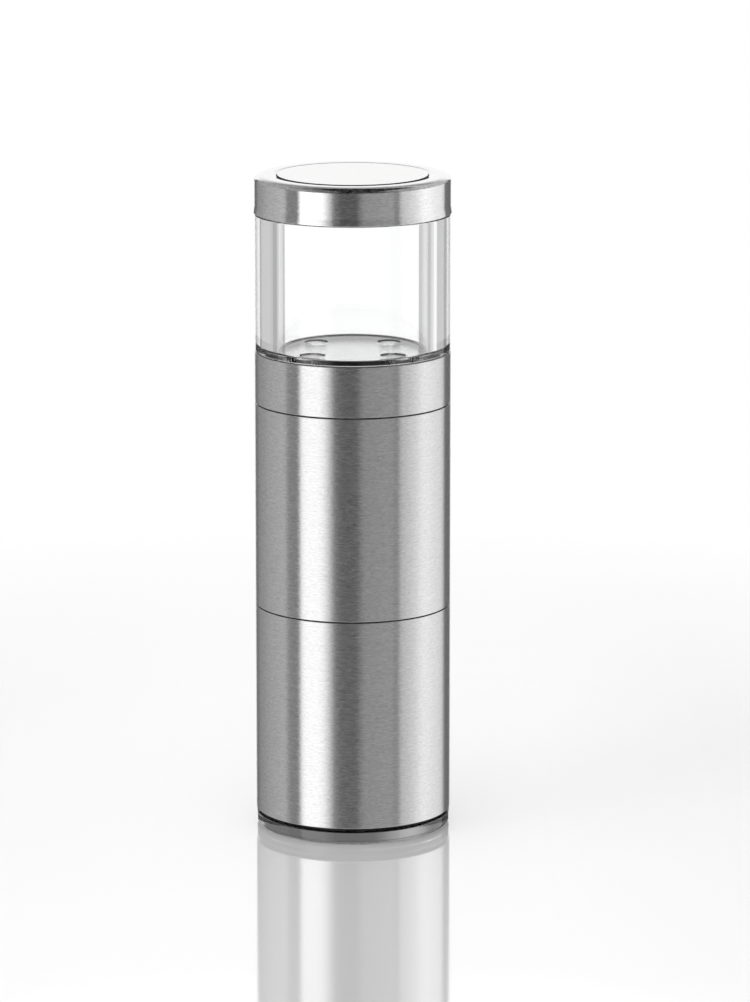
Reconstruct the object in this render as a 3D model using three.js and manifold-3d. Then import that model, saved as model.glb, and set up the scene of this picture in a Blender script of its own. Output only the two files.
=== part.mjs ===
// A mechanical nutmeg grater: a steel-clad cylinder that stands on a clear lid.
// From the table up: aroma lid, grating body with the blade disc, spring housing with the
// nut-feeding claw, and a turning head with a clear storage jar and its cap.
// The axis is Z, the origin is the middle of the underside, and lengths are in millimetres.

import * as THREE from 'three';
import { mergeVertices } from 'three/addons/utils/BufferGeometryUtils.js';
import Module from 'manifold-3d';

const wasm = await Module();
wasm.setup();

// Facets round a large ring, a small turned piece and a fastener
const RING_SEGMENTS = 36;
const SMALL_SEGMENTS = 24;
const FASTENER_SEGMENTS = 16;

// Clearances shared by every pair of pieces
const PRESS_GAP = 0.1;
const SLIDE_GAP = 0.3;
const REST_GAP = 0.3;
const END_PLAY = 0.1;

// How far a cutting shape runs past what it cuts
const CUT_PAST = 1;

// Steel sleeves
const BODY_RADIUS = 25;
const SLEEVE_WALL = 0.8;
const SLEEVE_EDGE = 0.15;
const SEAM = 0.3;
const LOWER_SLEEVE_LENGTH = 53.7;
const MID_SLEEVE_LENGTH = 52.2;
const HEAD_RING_LENGTH = 12.9;
const LINER_SETBACK = 0.3;

// Round seals
const SEAL_SECTION = 1.5;
const SEAL_GAP = 0.1;
const SEAL_BACKING = 1;

// Aroma lid
const LID_FLANGE_HEIGHT = 3.4;
const LID_FLANGE_INSET = 0.2;
const LID_EDGE_ROUND = 1.1;
const LID_FLOOR = 2;
const LID_SHADOW_GAP = 0.9;
const LID_PLUG_DEPTH = 10.4;
const LID_SEAL_HEIGHT = 5.9;

// Grating body
const LINER_WALL = 2.7;
const OUTLET_DEPTH = 20.5;
const OUTLET_CHAMFER = 0.5;
const RETAINER_HEIGHT = 3.6;
const RETAINER_LIP = 0.6;
const CHAMBER_WALL = 2;
const CHAMBER_SHELF = 2.6;
const SOCKET_DEPTH = 7.7;
const RIB_THICKNESS = 1.6;
const DOG_CHANNEL = 1.9;

// Blade disc
const DISC_OVERLAP = 1.8;
const DISC_THICKNESS = 1;
const RETAINER_REACH = 0.5;
const DISC_TAB_WIDTH = 4;
const DISC_TAB_REACH = 1.2;
const SLOT_WIDTH = 3;
const SLOT_MARGIN = 0.4;
const TOOTH_PITCH = 2;
const TOOTH_START = 1.3;
const TOOTH_NOTCH_RADIUS = 0.85;
const LIP_RISE = 0.6;
const LIP_WIDTH = 3.4;

// Spring housing
const SPIGOT_FLOOR = 2.6;
const SPIGOT_SEAL_HEIGHT = 3.8;
const DOG_COUNT = 3;
const DOG_WIDTH = 5;
const DOG_LENGTH = 4;
const BEARING_LENGTH = 5;
const BEARING_RECESS = 1.2;
const BEARING_STEP = 1;
const WASHER_THICKNESS = 1;
const WASHER_WIDTH = 4.7;

// Turning head
const HUB_RADIUS = 8;
const HUB_TAIL = 2.6;
const CLIP_THICKNESS = 1;
const CLIP_DEPTH = 1;
const CLIP_WIDTH = 3.9;
const CLIP_MOUTH = 7;
const THRUST_FACE_EDGE = 1;
const CORE_FLOOR = 3;
const CORE_BOSS_WALL = 2.7;
const DECK_THICKNESS = 0.8;
const DECK_OVERLAP = 0.2;
const DECK_LEDGE = 1.5;

// Storage jar
const JAR_GAP = 0.2;
const JAR_INSET = 0.15;
const JAR_LENGTH = 35.2;
const JAR_WALL = 5.85;
const JAR_FLOOR = 4.1;
const JAR_FILLET = 0.5;
const JAR_EDGE = 0.35;
const JAR_SPIGOT_DEPTH = 3.5;
const GASKET_WALL = 1.4;
const JAR_NECK_LENGTH = 4.6;
const SCREW_PITCH_RADIUS = 13.9;
const SCREW_HEAD_RADIUS = 2.95;
const SCREW_HEAD_HEIGHT = 1.8;
const SCREW_SEAT = 1.8;
const SCREW_SHANK_RADIUS = 1.3;
const SCREW_BITE = 3.6;
const SCREW_BOSS_WALL = 1.6;
const DRIVE_SLOT_WIDTH = 0.6;
const DRIVE_SLOT_DEPTH = 0.6;

// Cap
const CAP_LENGTH = 9.7;
const CAP_WALL = 0.7;
const CAP_FLARE = 0.25;
const CAP_FLARE_HEIGHT = 1.8;
const CAP_INNER_ROUND = 0.2;
const CAP_RIM_WIDTH = 5.6;
const CAP_DISC_GAP = 0.23;
const CAP_CEILING = 3;
const CAP_SKIRT_WALL = 1.4;
const CAP_PLUG_DEPTH = 5.2;
const CAP_SEAL_HEIGHT = 3.4;

// Feed: hexagonal shaft, sliding claw and its spring
const SHAFT_FLATS = 6;
const SHAFT_HEAD_RADIUS = 5.5;
const SHAFT_HEAD_HEIGHT = 2;
const RIVET_RADIUS = 1.5;
const STOP_THICKNESS = 2;
const STOP_RADIUS = 4.7;
const CLAW_TRAVEL = 20;
const CLAW_OVERRUN = 0.5;
const CLAW_TO_BLADE = 3;
const CLAW_SLEEVE_WALL = 1.5;
const CLAW_GUIDE_LENGTH = 7;
const CLAW_FLANGE_HEIGHT = 2;
const CLAW_PLUG_LENGTH = 4.5;
const CLAW_PLATE_RADIUS = 11.5;
const CLAW_PLATE_THICKNESS = 1.2;
const PRONG_COUNT = 6;
const PRONG_LENGTH = 5;
const PRONG_WIDTH = 3.2;
const CLAW_SCREW_HEAD_RADIUS = 3;
const CLAW_SCREW_HEAD_HEIGHT = 1.5;
const CLAW_SCREW_LENGTH = 3;
const SPRING_WIRE = 1;
const SPRING_CLEARANCE = 1;
const SPRING_LEDGE = 1;
const SPRING_TURNS = 12;
const SPRING_END_GAP = 0.5;
const SPRING_STEPS = 8;
const SPRING_SIDES = 5;
const SEAT_THICKNESS = 1;

// Heights of the outside, from the table up
const lidFlangeTop = LID_FLANGE_HEIGHT;
const lowerSleeveBottom = lidFlangeTop + LID_SHADOW_GAP;
const lowerSleeveTop = lowerSleeveBottom + LOWER_SLEEVE_LENGTH;
const midSleeveBottom = lowerSleeveTop + SEAM;
const midSleeveTop = midSleeveBottom + MID_SLEEVE_LENGTH;
const headRingBottom = midSleeveTop + SEAM;
const headRingTop = headRingBottom + HEAD_RING_LENGTH;
const jarBottom = headRingTop + JAR_GAP;
const jarTop = jarBottom + JAR_LENGTH;
const jarNeckTop = jarTop + JAR_NECK_LENGTH;
const capBottom = jarTop + JAR_GAP;
const capTop = capBottom + CAP_LENGTH;

// Grating body
const sleeveInside = BODY_RADIUS - SLEEVE_WALL;
const linerRadius = sleeveInside - PRESS_GAP;
const outletRadius = linerRadius - LINER_WALL;
const chamberOutside = outletRadius - DOG_CHANNEL;
const chamberRadius = chamberOutside - CHAMBER_WALL;
const discRadius = chamberRadius + DISC_OVERLAP;
const discViewRadius = chamberRadius - RETAINER_REACH;
const lowerLinerBottom = lidFlangeTop + REST_GAP;
const lowerLinerTop = lowerSleeveTop - LINER_SETBACK;
const retainerBottom = lowerLinerBottom + OUTLET_DEPTH;
const retainerTop = retainerBottom + RETAINER_HEIGHT;
const discBottom = retainerTop + REST_GAP;
const discTop = discBottom + DISC_THICKNESS;
const shelfBottom = discTop + REST_GAP;
const shelfTop = shelfBottom + CHAMBER_SHELF;
const discSeatRadius = discRadius + SLIDE_GAP;
const retainerSeatRadius = discSeatRadius + RETAINER_LIP;
const retainerRadius = retainerSeatRadius - SLIDE_GAP;
const socketFloor = lowerLinerTop - SOCKET_DEPTH;
const toothCount = 1 + Math.floor((discViewRadius - TOOTH_START - TOOTH_PITCH / 2) / TOOTH_PITCH);
const ribOffset = DOG_WIDTH / 2 + SLIDE_GAP + RIB_THICKNESS / 2;

// Spring housing
const midLinerBottom = midSleeveBottom + LINER_SETBACK;
const midLinerTop = midSleeveTop - LINER_SETBACK;
const spigotBottom = socketFloor + REST_GAP;
const bearingTop = midLinerTop - BEARING_RECESS;
const bearingBottom = bearingTop - BEARING_LENGTH;
const washerBottom = bearingTop + END_PLAY;
const washerTop = washerBottom + WASHER_THICKNESS;
const bearingRadius = HUB_RADIUS + SLIDE_GAP;
const bearingSeatRadius = outletRadius + BEARING_STEP;
const washerRadius = bearingRadius + WASHER_WIDTH;

// Turning head
const thrustFace = washerTop + END_PLAY;
const thrustFaceRadius = washerRadius + THRUST_FACE_EDGE;
const coreBottom = headRingBottom + LINER_SETBACK;
const coreFloorTop = coreBottom + CORE_FLOOR;
const jarSpigotBottom = jarBottom - JAR_SPIGOT_DEPTH;
const deckTop = jarSpigotBottom - REST_GAP;
const deckBottom = deckTop - DECK_THICKNESS;
const ledgeTop = deckBottom - END_PLAY;
const jarRadius = BODY_RADIUS - JAR_INSET;
const jarBoreRadius = jarRadius - JAR_WALL;
const deckRadius = jarBoreRadius + DECK_OVERLAP;
const deckSeatRadius = deckRadius + SLIDE_GAP;
const ledgeRadius = deckRadius - DECK_LEDGE;
const clipTop = bearingBottom - REST_GAP;
const clipBottom = clipTop - CLIP_THICKNESS;
const clipInside = HUB_RADIUS - CLIP_DEPTH + END_PLAY;
const clipRadius = clipInside + CLIP_WIDTH;
const hubBottom = clipBottom - END_PLAY - HUB_TAIL;
const shaftPocketRadius = SHAFT_HEAD_RADIUS + SLIDE_GAP;
const shaftPocketFloor = coreFloorTop + REST_GAP;
const coreBossRadius = shaftPocketRadius + CORE_BOSS_WALL;
const jarFloorTop = jarSpigotBottom + JAR_FLOOR;
const gasketInside = linerRadius - GASKET_WALL;
const jarSpigotRadius = gasketInside - END_PLAY;
const screwSeatTop = jarSpigotBottom + SCREW_SEAT;
const screwHeadBottom = screwSeatTop + END_PLAY;
const screwHeadTop = screwHeadBottom + SCREW_HEAD_HEIGHT;
const screwBottom = ledgeTop - SCREW_BITE;
const screwHoleRadius = SCREW_SHANK_RADIUS + SLIDE_GAP;
const screwOffset = SCREW_PITCH_RADIUS * Math.cos(Math.PI / 4);
const screwPlaces = {
  jar_screw_left: [-screwOffset, -screwOffset],
  jar_screw_right: [screwOffset, -screwOffset],
  jar_screw_back_left: [-screwOffset, screwOffset],
  jar_screw_back_right: [screwOffset, screwOffset],
};

// Cap
const capInside = BODY_RADIUS - CAP_WALL;
const insertRadius = capInside - PRESS_GAP;
const skirtInside = insertRadius - CAP_SKIRT_WALL;
const jarNeckRadius = skirtInside - SLIDE_GAP;
const capRound = CAP_WALL + CAP_INNER_ROUND;
const capHoleRadius = BODY_RADIUS - CAP_RIM_WIDTH;
const capDiscRadius = capHoleRadius - CAP_DISC_GAP;
const insertShoulder = capTop - CAP_WALL - END_PLAY;
const insertFlangeBottom = jarNeckTop + REST_GAP;
const insertCeiling = insertShoulder + CAP_WALL - CAP_CEILING;
const capPlugBottom = insertFlangeBottom - CAP_PLUG_DEPTH;

// Feed, from the blade up
const clawTip = discTop + LIP_RISE + CLAW_TO_BLADE;
const clawPlateBottom = clawTip + PRONG_LENGTH;
const clawPlateTop = clawPlateBottom + CLAW_PLATE_THICKNESS;
const clawSleeveBottom = clawPlateTop + END_PLAY;
const clawPlugBottom = clawSleeveBottom + END_PLAY;
const clawPlugTop = clawPlugBottom + CLAW_PLUG_LENGTH;
const rivetBottom = clawPlugTop + CLAW_OVERRUN + CLAW_TRAVEL;
const stopBottom = rivetBottom + REST_GAP;
const stopTop = stopBottom + STOP_THICKNESS;
const shaftBottom = stopTop + END_PLAY;
const guideBottom = stopTop + REST_GAP;
const clawSleeveTop = guideBottom + CLAW_GUIDE_LENGTH;
const clawBoreRadius = STOP_RADIUS + SLIDE_GAP;
const clawSleeveRadius = clawBoreRadius + CLAW_SLEEVE_WALL;
const clawPlugRadius = clawBoreRadius - END_PLAY;
const springRadius = clawSleeveRadius + SPRING_CLEARANCE + SPRING_WIRE / 2;
const springEndPitch = SPRING_WIRE + SPRING_END_GAP;
const springLedgeRadius = springRadius + SPRING_WIRE / 2 + SPRING_LEDGE;
const seatTop = hubBottom - REST_GAP;
const seatBottom = seatTop - SEAT_THICKNESS;
const springTop = seatBottom - REST_GAP;
const springBottom = clawSleeveBottom + CLAW_FLANGE_HEIGHT + REST_GAP;
const shaftCorner = hexCorner(SHAFT_FLATS);
const shaftHoleCorner = hexCorner(SHAFT_FLATS + 2 * SLIDE_GAP);

// Radius of a hexagon's corners from the distance across its flats
function hexCorner(flats) {
  return flats / 2 / Math.cos(Math.PI / 6);
}

// Solids
// A profile is a list of [radius, height] points; it starts and ends on the axis or is closed here.
function revolve(profile, segments = RING_SEGMENTS) {
  const points = profile.map(([radius, height]) => new THREE.Vector2(radius, height));
  if (profile[0][0] > 0) points.push(points[0].clone());
  return solidOf(new THREE.LatheGeometry(points, segments).rotateX(Math.PI / 2));
}

function rod(radius, bottom, top, segments = SMALL_SEGMENTS) {
  return revolve([[0, bottom], [radius, bottom], [radius, top], [0, top]], segments);
}

function ring(inside, outside, bottom, top, segments = RING_SEGMENTS) {
  return revolve([[inside, bottom], [outside, bottom], [outside, top], [inside, top]], segments);
}

// A box from its low and high corners, turned about the axis by an angle
function block([x0, y0, z0], [x1, y1, z1], turn = 0) {
  const box = new THREE.BoxGeometry(x1 - x0, y1 - y0, z1 - z0);
  box.translate((x0 + x1) / 2, (y0 + y1) / 2, (z0 + z1) / 2);
  return solidOf(box.rotateZ(turn));
}

// Points of an arc in a profile, by centre, radius and angles in degrees
function arc(centreRadius, centreHeight, radius, from, to, steps = 3) {
  return Array.from({ length: steps + 1 }, (_, i) => {
    const angle = THREE.MathUtils.degToRad(from + ((to - from) * i) / steps);
    return [centreRadius + radius * Math.cos(angle), centreHeight + radius * Math.sin(angle)];
  });
}

function volumeOf(corners, triangles) {
  const [a, b, c] = [0, 1, 2].map(() => new THREE.Vector3());
  let volume = 0;
  for (let i = 0; i < triangles.length; i += 3) {
    a.fromArray(corners, 3 * triangles[i]);
    b.fromArray(corners, 3 * triangles[i + 1]);
    c.fromArray(corners, 3 * triangles[i + 2]);
    volume += a.dot(b.cross(c)) / 6;
  }
  return volume;
}

// A closed geometry as a solid that can be joined and cut, with its faces pointing out
function solidOf(geometry) {
  const bare = geometry.clone();
  bare.deleteAttribute('normal');
  bare.deleteAttribute('uv');
  const merged = mergeVertices(bare, 1e-4);
  const corners = new Float32Array(merged.attributes.position.array);
  const triangles = [];
  for (let i = 0; i < merged.index.count; i += 3) {
    const [a, b, c] = [0, 1, 2].map((k) => merged.index.getX(i + k));
    if (a !== b && b !== c && c !== a) triangles.push(a, b, c);
  }
  if (volumeOf(corners, triangles) < 0) triangles.reverse();
  const triVerts = new Uint32Array(triangles);
  return new wasm.Manifold(new wasm.Mesh({ numProp: 3, vertProperties: corners, triVerts }));
}

function sum(solids) {
  return solids.reduce((all, next) => all.add(next));
}

function aroundAxis(count, make) {
  return Array.from({ length: count }, (_, i) => make((2 * Math.PI * i) / count));
}

function part(name, solid, material) {
  const { vertProperties, triVerts } = solid.getMesh();
  const geometry = new THREE.BufferGeometry();
  geometry.setAttribute('position', new THREE.BufferAttribute(vertProperties, 3));
  geometry.setIndex(new THREE.BufferAttribute(triVerts, 1));
  geometry.computeVertexNormals();
  const mesh = new THREE.Mesh(geometry, material);
  mesh.name = name;
  return mesh;
}

// Materials
function surface(color, roughness, metalness, opacity = 1) {
  return new THREE.MeshStandardMaterial({ color, roughness, metalness, opacity, transparent: opacity < 1 });
}

const brushedSteel = surface(0xb4b4b6, 0.32, 1);
const bladeSteel = surface(0xc8c8c8, 0.25, 1);
const springSteel = surface(0x9a9a9c, 0.3, 1);
const blackPlastic = surface(0x101011, 0.35, 0);
const whitePlastic = surface(0xe9e9e6, 0.45, 0);
const clearAcrylic = surface(0xf4f6f6, 0.05, 0, 0.3);
const blackRubber = surface(0x141414, 0.7, 0);
const clearSilicone = surface(0xd9dcdc, 0.5, 0, 0.8);
const acetal = surface(0xdeded8, 0.4, 0);

// Round seals
// Every seal sits in a groove of the plug that it seals against a bore.
function sealSeat(boreRadius, height) {
  return {
    height,
    plug: boreRadius - SLIDE_GAP,
    centre: boreRadius - SEAL_GAP - SEAL_SECTION / 2,
    groove: boreRadius - 2 * SEAL_GAP - SEAL_SECTION,
    inside: boreRadius - 2 * SEAL_GAP - SEAL_SECTION - SEAL_BACKING,
    bottom: height - SEAL_SECTION / 2 - SEAL_GAP,
    top: height + SEAL_SECTION / 2 + SEAL_GAP,
  };
}

function grooveProfile(seat) {
  return [
    [seat.plug, seat.bottom],
    [seat.groove, seat.bottom],
    [seat.groove, seat.top],
    [seat.plug, seat.top],
  ];
}

function seal(name, seat, material) {
  const section = arc(seat.centre, seat.height, SEAL_SECTION / 2, 0, 300, 5);
  return part(name, revolve(section), material);
}

const lidSeal = sealSeat(outletRadius, lowerLinerBottom + LID_SEAL_HEIGHT);
const spigotSeal = sealSeat(outletRadius, spigotBottom + SPIGOT_SEAL_HEIGHT);
const capSeal = sealSeat(jarBoreRadius, insertFlangeBottom - CAP_SEAL_HEIGHT);

// Steel sleeves: plain tubes with broken edges
function sleeve(name, bottom, top) {
  const tube = revolve([
    [sleeveInside, bottom],
    [BODY_RADIUS - SLEEVE_EDGE, bottom],
    [BODY_RADIUS, bottom + SLEEVE_EDGE],
    [BODY_RADIUS, top - SLEEVE_EDGE],
    [BODY_RADIUS - SLEEVE_EDGE, top],
    [sleeveInside, top],
  ]);
  return part(name, tube, brushedSteel);
}

// Aroma lid: the clear foot, a cup whose plug seals the outlet
function aromaLid() {
  const flange = BODY_RADIUS - LID_FLANGE_INSET;
  const plugTop = lowerLinerBottom + LID_PLUG_DEPTH;
  return part('aroma_lid', revolve([
    [0, 0],
    ...arc(flange - LID_EDGE_ROUND, LID_EDGE_ROUND, LID_EDGE_ROUND, -90, 0),
    [flange, lidFlangeTop],
    [lidSeal.plug, lidFlangeTop],
    ...grooveProfile(lidSeal),
    [lidSeal.plug, plugTop],
    [lidSeal.inside, plugTop],
    [lidSeal.inside, LID_FLOOR],
    [0, LID_FLOOR],
  ]), clearAcrylic);
}

// Lower liner: outlet, seat for the blade and its retainer, and the socket for the spring housing.
// Its rim comes down past the sleeve, so that the body stands on it and not on the steel edge.
function lowerLiner() {
  const seatTop = shelfBottom - REST_GAP;
  const shell = revolve([
    [outletRadius + OUTLET_CHAMFER, lowerLinerBottom],
    [linerRadius, lowerLinerBottom],
    [linerRadius, lowerLinerTop],
    [outletRadius, lowerLinerTop],
    [outletRadius, seatTop],
    [discSeatRadius, seatTop],
    [discSeatRadius, discBottom - END_PLAY],
    [retainerSeatRadius, discBottom - END_PLAY],
    [retainerSeatRadius, retainerBottom],
    [outletRadius, retainerBottom],
    [outletRadius, lowerLinerBottom + OUTLET_CHAMFER],
  ]);
  const tabReach = discRadius + DISC_TAB_REACH + SLIDE_GAP;
  const tabHalf = DISC_TAB_WIDTH / 2 + SLIDE_GAP;
  const tabPockets = aroundAxis(2, (turn) => block(
    [-tabHalf, chamberRadius, retainerBottom - CUT_PAST],
    [tabHalf, tabReach, seatTop + CUT_PAST],
    turn,
  ));
  return part('lower_liner', shell.subtract(sum(tabPockets)), blackPlastic);
}

// Nut chamber: an open cup that holds the blade down; pairs of ribs take the dogs between them
function nutChamber() {
  const flangeRadius = outletRadius - SLIDE_GAP;
  const cup = revolve([
    [chamberRadius, shelfBottom],
    [flangeRadius, shelfBottom],
    [flangeRadius, shelfTop],
    [chamberOutside, shelfTop],
    [chamberOutside, socketFloor],
    [chamberRadius, socketFloor],
  ]);
  const ribBottom = shelfTop - CHAMBER_SHELF / 2;
  const ribs = aroundAxis(DOG_COUNT, (turn) => sum([-ribOffset, ribOffset].map((y) => block(
    [chamberRadius, y - RIB_THICKNESS / 2, ribBottom],
    [BODY_RADIUS, y + RIB_THICKNESS / 2, socketFloor],
    turn,
  ))));
  const ribRing = ring(chamberOutside - CHAMBER_WALL / 2, flangeRadius, ribBottom, socketFloor);
  return part('nut_chamber', cup.add(ribRing.intersect(sum(ribs))), blackPlastic);
}

// Blade disc: a steel disc with a slot right across the view through the outlet.
// One edge of the slot is raised towards the nut over half its length and cut into teeth.
function bladeDisc() {
  const slotReach = discViewRadius + SLOT_MARGIN;
  const tabs = aroundAxis(2, (turn) => block(
    [-DISC_TAB_WIDTH / 2, chamberRadius, discBottom],
    [DISC_TAB_WIDTH / 2, discRadius + DISC_TAB_REACH, discTop],
    turn,
  ));
  const slot = block(
    [-slotReach, -SLOT_WIDTH / 2, discBottom - CUT_PAST],
    [slotReach, SLOT_WIDTH / 2, discTop + CUT_PAST],
  );
  const notchDepth = 2 * (DISC_THICKNESS + LIP_RISE + CUT_PAST);
  const notches = Array.from({ length: toothCount }, (_, i) => {
    const radius = TOOTH_NOTCH_RADIUS;
    const cutter = new THREE.CylinderGeometry(radius, radius, notchDepth, FASTENER_SEGMENTS);
    cutter.rotateX(Math.PI / 2);
    return solidOf(cutter.translate(TOOTH_START + i * TOOTH_PITCH, -SLOT_WIDTH / 2, discTop));
  });
  const disc = rod(discRadius, discBottom, discTop, RING_SEGMENTS).add(sum(tabs));
  return part('blade_disc', disc.subtract(slot).add(cuttingLip()).subtract(sum(notches)), bladeSteel);
}

// The raised lip is a wedge along the slot that is highest at the teeth.
function cuttingLip() {
  const lipEnd = TOOTH_START + (toothCount - 1) * TOOTH_PITCH + TOOTH_PITCH / 2;
  const section = new THREE.Shape([
    new THREE.Vector2(-SLOT_WIDTH / 2, discTop - DISC_THICKNESS / 2),
    new THREE.Vector2(-SLOT_WIDTH / 2, discTop + LIP_RISE),
    new THREE.Vector2(-SLOT_WIDTH / 2 - LIP_WIDTH, discTop),
    new THREE.Vector2(-SLOT_WIDTH / 2 - LIP_WIDTH, discTop - DISC_THICKNESS / 2),
  ]);
  const wedge = new THREE.ExtrudeGeometry(section, { depth: lipEnd, bevelEnabled: false });
  wedge.rotateX(Math.PI / 2).rotateZ(Math.PI / 2);
  return solidOf(wedge);
}

// Blade retainer: a snap-in ring with a conical mouth that opens towards the outlet
function bladeRetainer() {
  return part('blade_retainer', revolve([
    [discViewRadius, retainerTop],
    [discViewRadius, retainerTop - RETAINER_LIP],
    [retainerRadius - RETAINER_LIP, retainerBottom],
    [retainerRadius, retainerBottom],
    [retainerRadius, retainerTop],
  ]), blackPlastic);
}

// Mid liner: spigot with three driving dogs, spring space and the seat of the bearing plate
function midLiner() {
  const bearingSeat = bearingBottom - REST_GAP;
  const shell = revolve([
    [linerRadius, midLinerBottom],
    [linerRadius, midLinerTop],
    [bearingSeatRadius, midLinerTop],
    [bearingSeatRadius, bearingSeat],
    [outletRadius, bearingSeat],
    [outletRadius, midLinerBottom + SPIGOT_FLOOR],
    [spigotSeal.inside, midLinerBottom + SPIGOT_FLOOR],
    [spigotSeal.inside, spigotBottom],
    [spigotSeal.plug, spigotBottom],
    ...grooveProfile(spigotSeal),
    [spigotSeal.plug, midLinerBottom],
  ]);
  const dogTop = spigotBottom + SLIDE_GAP;
  const dogRing = ring(chamberOutside + SLIDE_GAP, spigotSeal.plug, spigotBottom - DOG_LENGTH, dogTop);
  const dogs = aroundAxis(DOG_COUNT, (turn) => block(
    [chamberRadius, -DOG_WIDTH / 2, spigotBottom - DOG_LENGTH - CUT_PAST],
    [BODY_RADIUS, DOG_WIDTH / 2, dogTop + CUT_PAST],
    turn,
  ));
  return part('mid_liner', shell.add(dogRing.intersect(sum(dogs))), blackPlastic);
}

// Bearing plate: the wall that the head's hub turns in, seated on a step of the mid liner
function bearingPlate() {
  const plateRadius = bearingSeatRadius - SLIDE_GAP;
  return part('bearing_plate', ring(bearingRadius, plateRadius, bearingBottom, bearingTop), blackPlastic);
}

function thrustWasher() {
  return part('thrust_washer', ring(bearingRadius, washerRadius, washerBottom, washerTop), acetal);
}

// Head core: hub through the bearing, pocket for the shaft and four screw bosses under the deck
function headCore() {
  const clipGroove = HUB_RADIUS - CLIP_DEPTH;
  const turned = revolve([
    [0, hubBottom],
    [HUB_RADIUS, hubBottom],
    [HUB_RADIUS, clipBottom - END_PLAY],
    [clipGroove, clipBottom - END_PLAY],
    [clipGroove, clipTop + END_PLAY],
    [HUB_RADIUS, clipTop + END_PLAY],
    [HUB_RADIUS, thrustFace],
    [thrustFaceRadius, thrustFace],
    [thrustFaceRadius, coreBottom],
    [linerRadius, coreBottom],
    [linerRadius, deckTop],
    [deckSeatRadius, deckTop],
    [deckSeatRadius, ledgeTop],
    [ledgeRadius, ledgeTop],
    [ledgeRadius, coreFloorTop],
    [coreBossRadius, coreFloorTop],
    [coreBossRadius, ledgeTop],
    [0, ledgeTop],
  ]);
  const bossRadius = screwHoleRadius + SCREW_BOSS_WALL;
  const bossBottom = coreFloorTop - CORE_FLOOR / 2;
  const bosses = atScrews(rod(bossRadius, bossBottom, ledgeTop, FASTENER_SEGMENTS));
  const webs = Object.values(screwPlaces).map(([x, y]) => block(
    [SCREW_PITCH_RADIUS, -bossRadius, bossBottom],
    [deckSeatRadius, bossRadius, ledgeTop],
    Math.atan2(y, x),
  ));
  const holes = atScrews(screwHole(screwBottom - REST_GAP, ledgeTop + CUT_PAST));
  const shaftHole = rod(shaftHoleCorner, hubBottom - CUT_PAST, shaftPocketFloor + CUT_PAST, 6);
  const shaftPocket = rod(shaftPocketRadius, shaftPocketFloor, ledgeTop + CUT_PAST);
  const cuts = sum([holes, shaftHole, shaftPocket]);
  return part('head_core', sum([turned, bosses, ...webs]).subtract(cuts), blackPlastic);
}

// The hole and the shank of every small screw
function screwHole(bottom, top) {
  return rod(screwHoleRadius, bottom, top, FASTENER_SEGMENTS);
}

function screwShank(bottom, top) {
  return rod(SCREW_SHANK_RADIUS, bottom, top, FASTENER_SEGMENTS);
}

// A solid copied to the four jar screws
function atScrews(solid) {
  return sum(Object.values(screwPlaces).map(([x, y]) => solid.translate([x, y, 0])));
}

// Hub clip: an open ring that holds the head on its bearing
function hubClip() {
  const mouth = block(
    [0, -CLIP_MOUTH / 2, clipBottom - CUT_PAST],
    [clipRadius + CUT_PAST, CLIP_MOUTH / 2, clipTop + CUT_PAST],
  );
  const clip = ring(clipInside, clipRadius, clipBottom, clipTop, SMALL_SEGMENTS).subtract(mouth);
  return part('hub_clip', clip, springSteel);
}

function deckPlate() {
  const holes = atScrews(screwHole(deckBottom - CUT_PAST, deckTop + CUT_PAST));
  const plate = rod(deckRadius, deckBottom, deckTop, RING_SEGMENTS).subtract(holes);
  return part('deck_plate', plate, bladeSteel);
}

function jarGasket() {
  const gasket = ring(gasketInside, linerRadius, deckTop + REST_GAP, jarBottom - REST_GAP);
  return part('jar_gasket', gasket, blackRubber);
}

// Storage jar: thick clear wall and floor, spigot below and neck above
function storageJar() {
  const body = revolve([
    [0, jarSpigotBottom],
    [jarSpigotRadius, jarSpigotBottom],
    [jarSpigotRadius, jarBottom],
    [jarRadius - JAR_EDGE, jarBottom],
    [jarRadius, jarBottom + JAR_EDGE],
    [jarRadius, jarTop - JAR_EDGE],
    [jarRadius - JAR_EDGE, jarTop],
    [jarNeckRadius, jarTop],
    [jarNeckRadius, jarNeckTop - JAR_EDGE],
    [jarNeckRadius - JAR_EDGE, jarNeckTop],
    [jarBoreRadius + JAR_EDGE, jarNeckTop],
    [jarBoreRadius, jarNeckTop - JAR_EDGE],
    ...arc(jarBoreRadius - JAR_FILLET, jarFloorTop + JAR_FILLET, JAR_FILLET, 0, -90, 4),
    [0, jarFloorTop],
  ]);
  const headHole = rod(SCREW_HEAD_RADIUS + SLIDE_GAP, screwSeatTop, jarFloorTop + CUT_PAST);
  const shankHole = screwHole(jarSpigotBottom - CUT_PAST, screwSeatTop + SCREW_SEAT / 2);
  return part('storage_jar', body.subtract(atScrews(headHole.add(shankHole))), clearAcrylic);
}

// Jar screws: cheese heads with a driving slot, sunk just below the jar's floor
function jarScrew([name, [x, y]]) {
  const head = rod(SCREW_HEAD_RADIUS, screwHeadBottom, screwHeadTop);
  const shank = screwShank(screwBottom, screwHeadBottom + SCREW_HEAD_HEIGHT / 2);
  const slot = driveSlot(SCREW_HEAD_RADIUS, screwHeadTop - DRIVE_SLOT_DEPTH, screwHeadTop + CUT_PAST);
  const screw = head.add(shank).subtract(slot);
  return part(name, screw.translate([x, y, 0]), springSteel);
}

function driveSlot(headRadius, bottom, top) {
  const reach = headRadius + CUT_PAST;
  return block([-reach, -DRIVE_SLOT_WIDTH / 2, bottom], [reach, DRIVE_SLOT_WIDTH / 2, top]);
}

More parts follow.
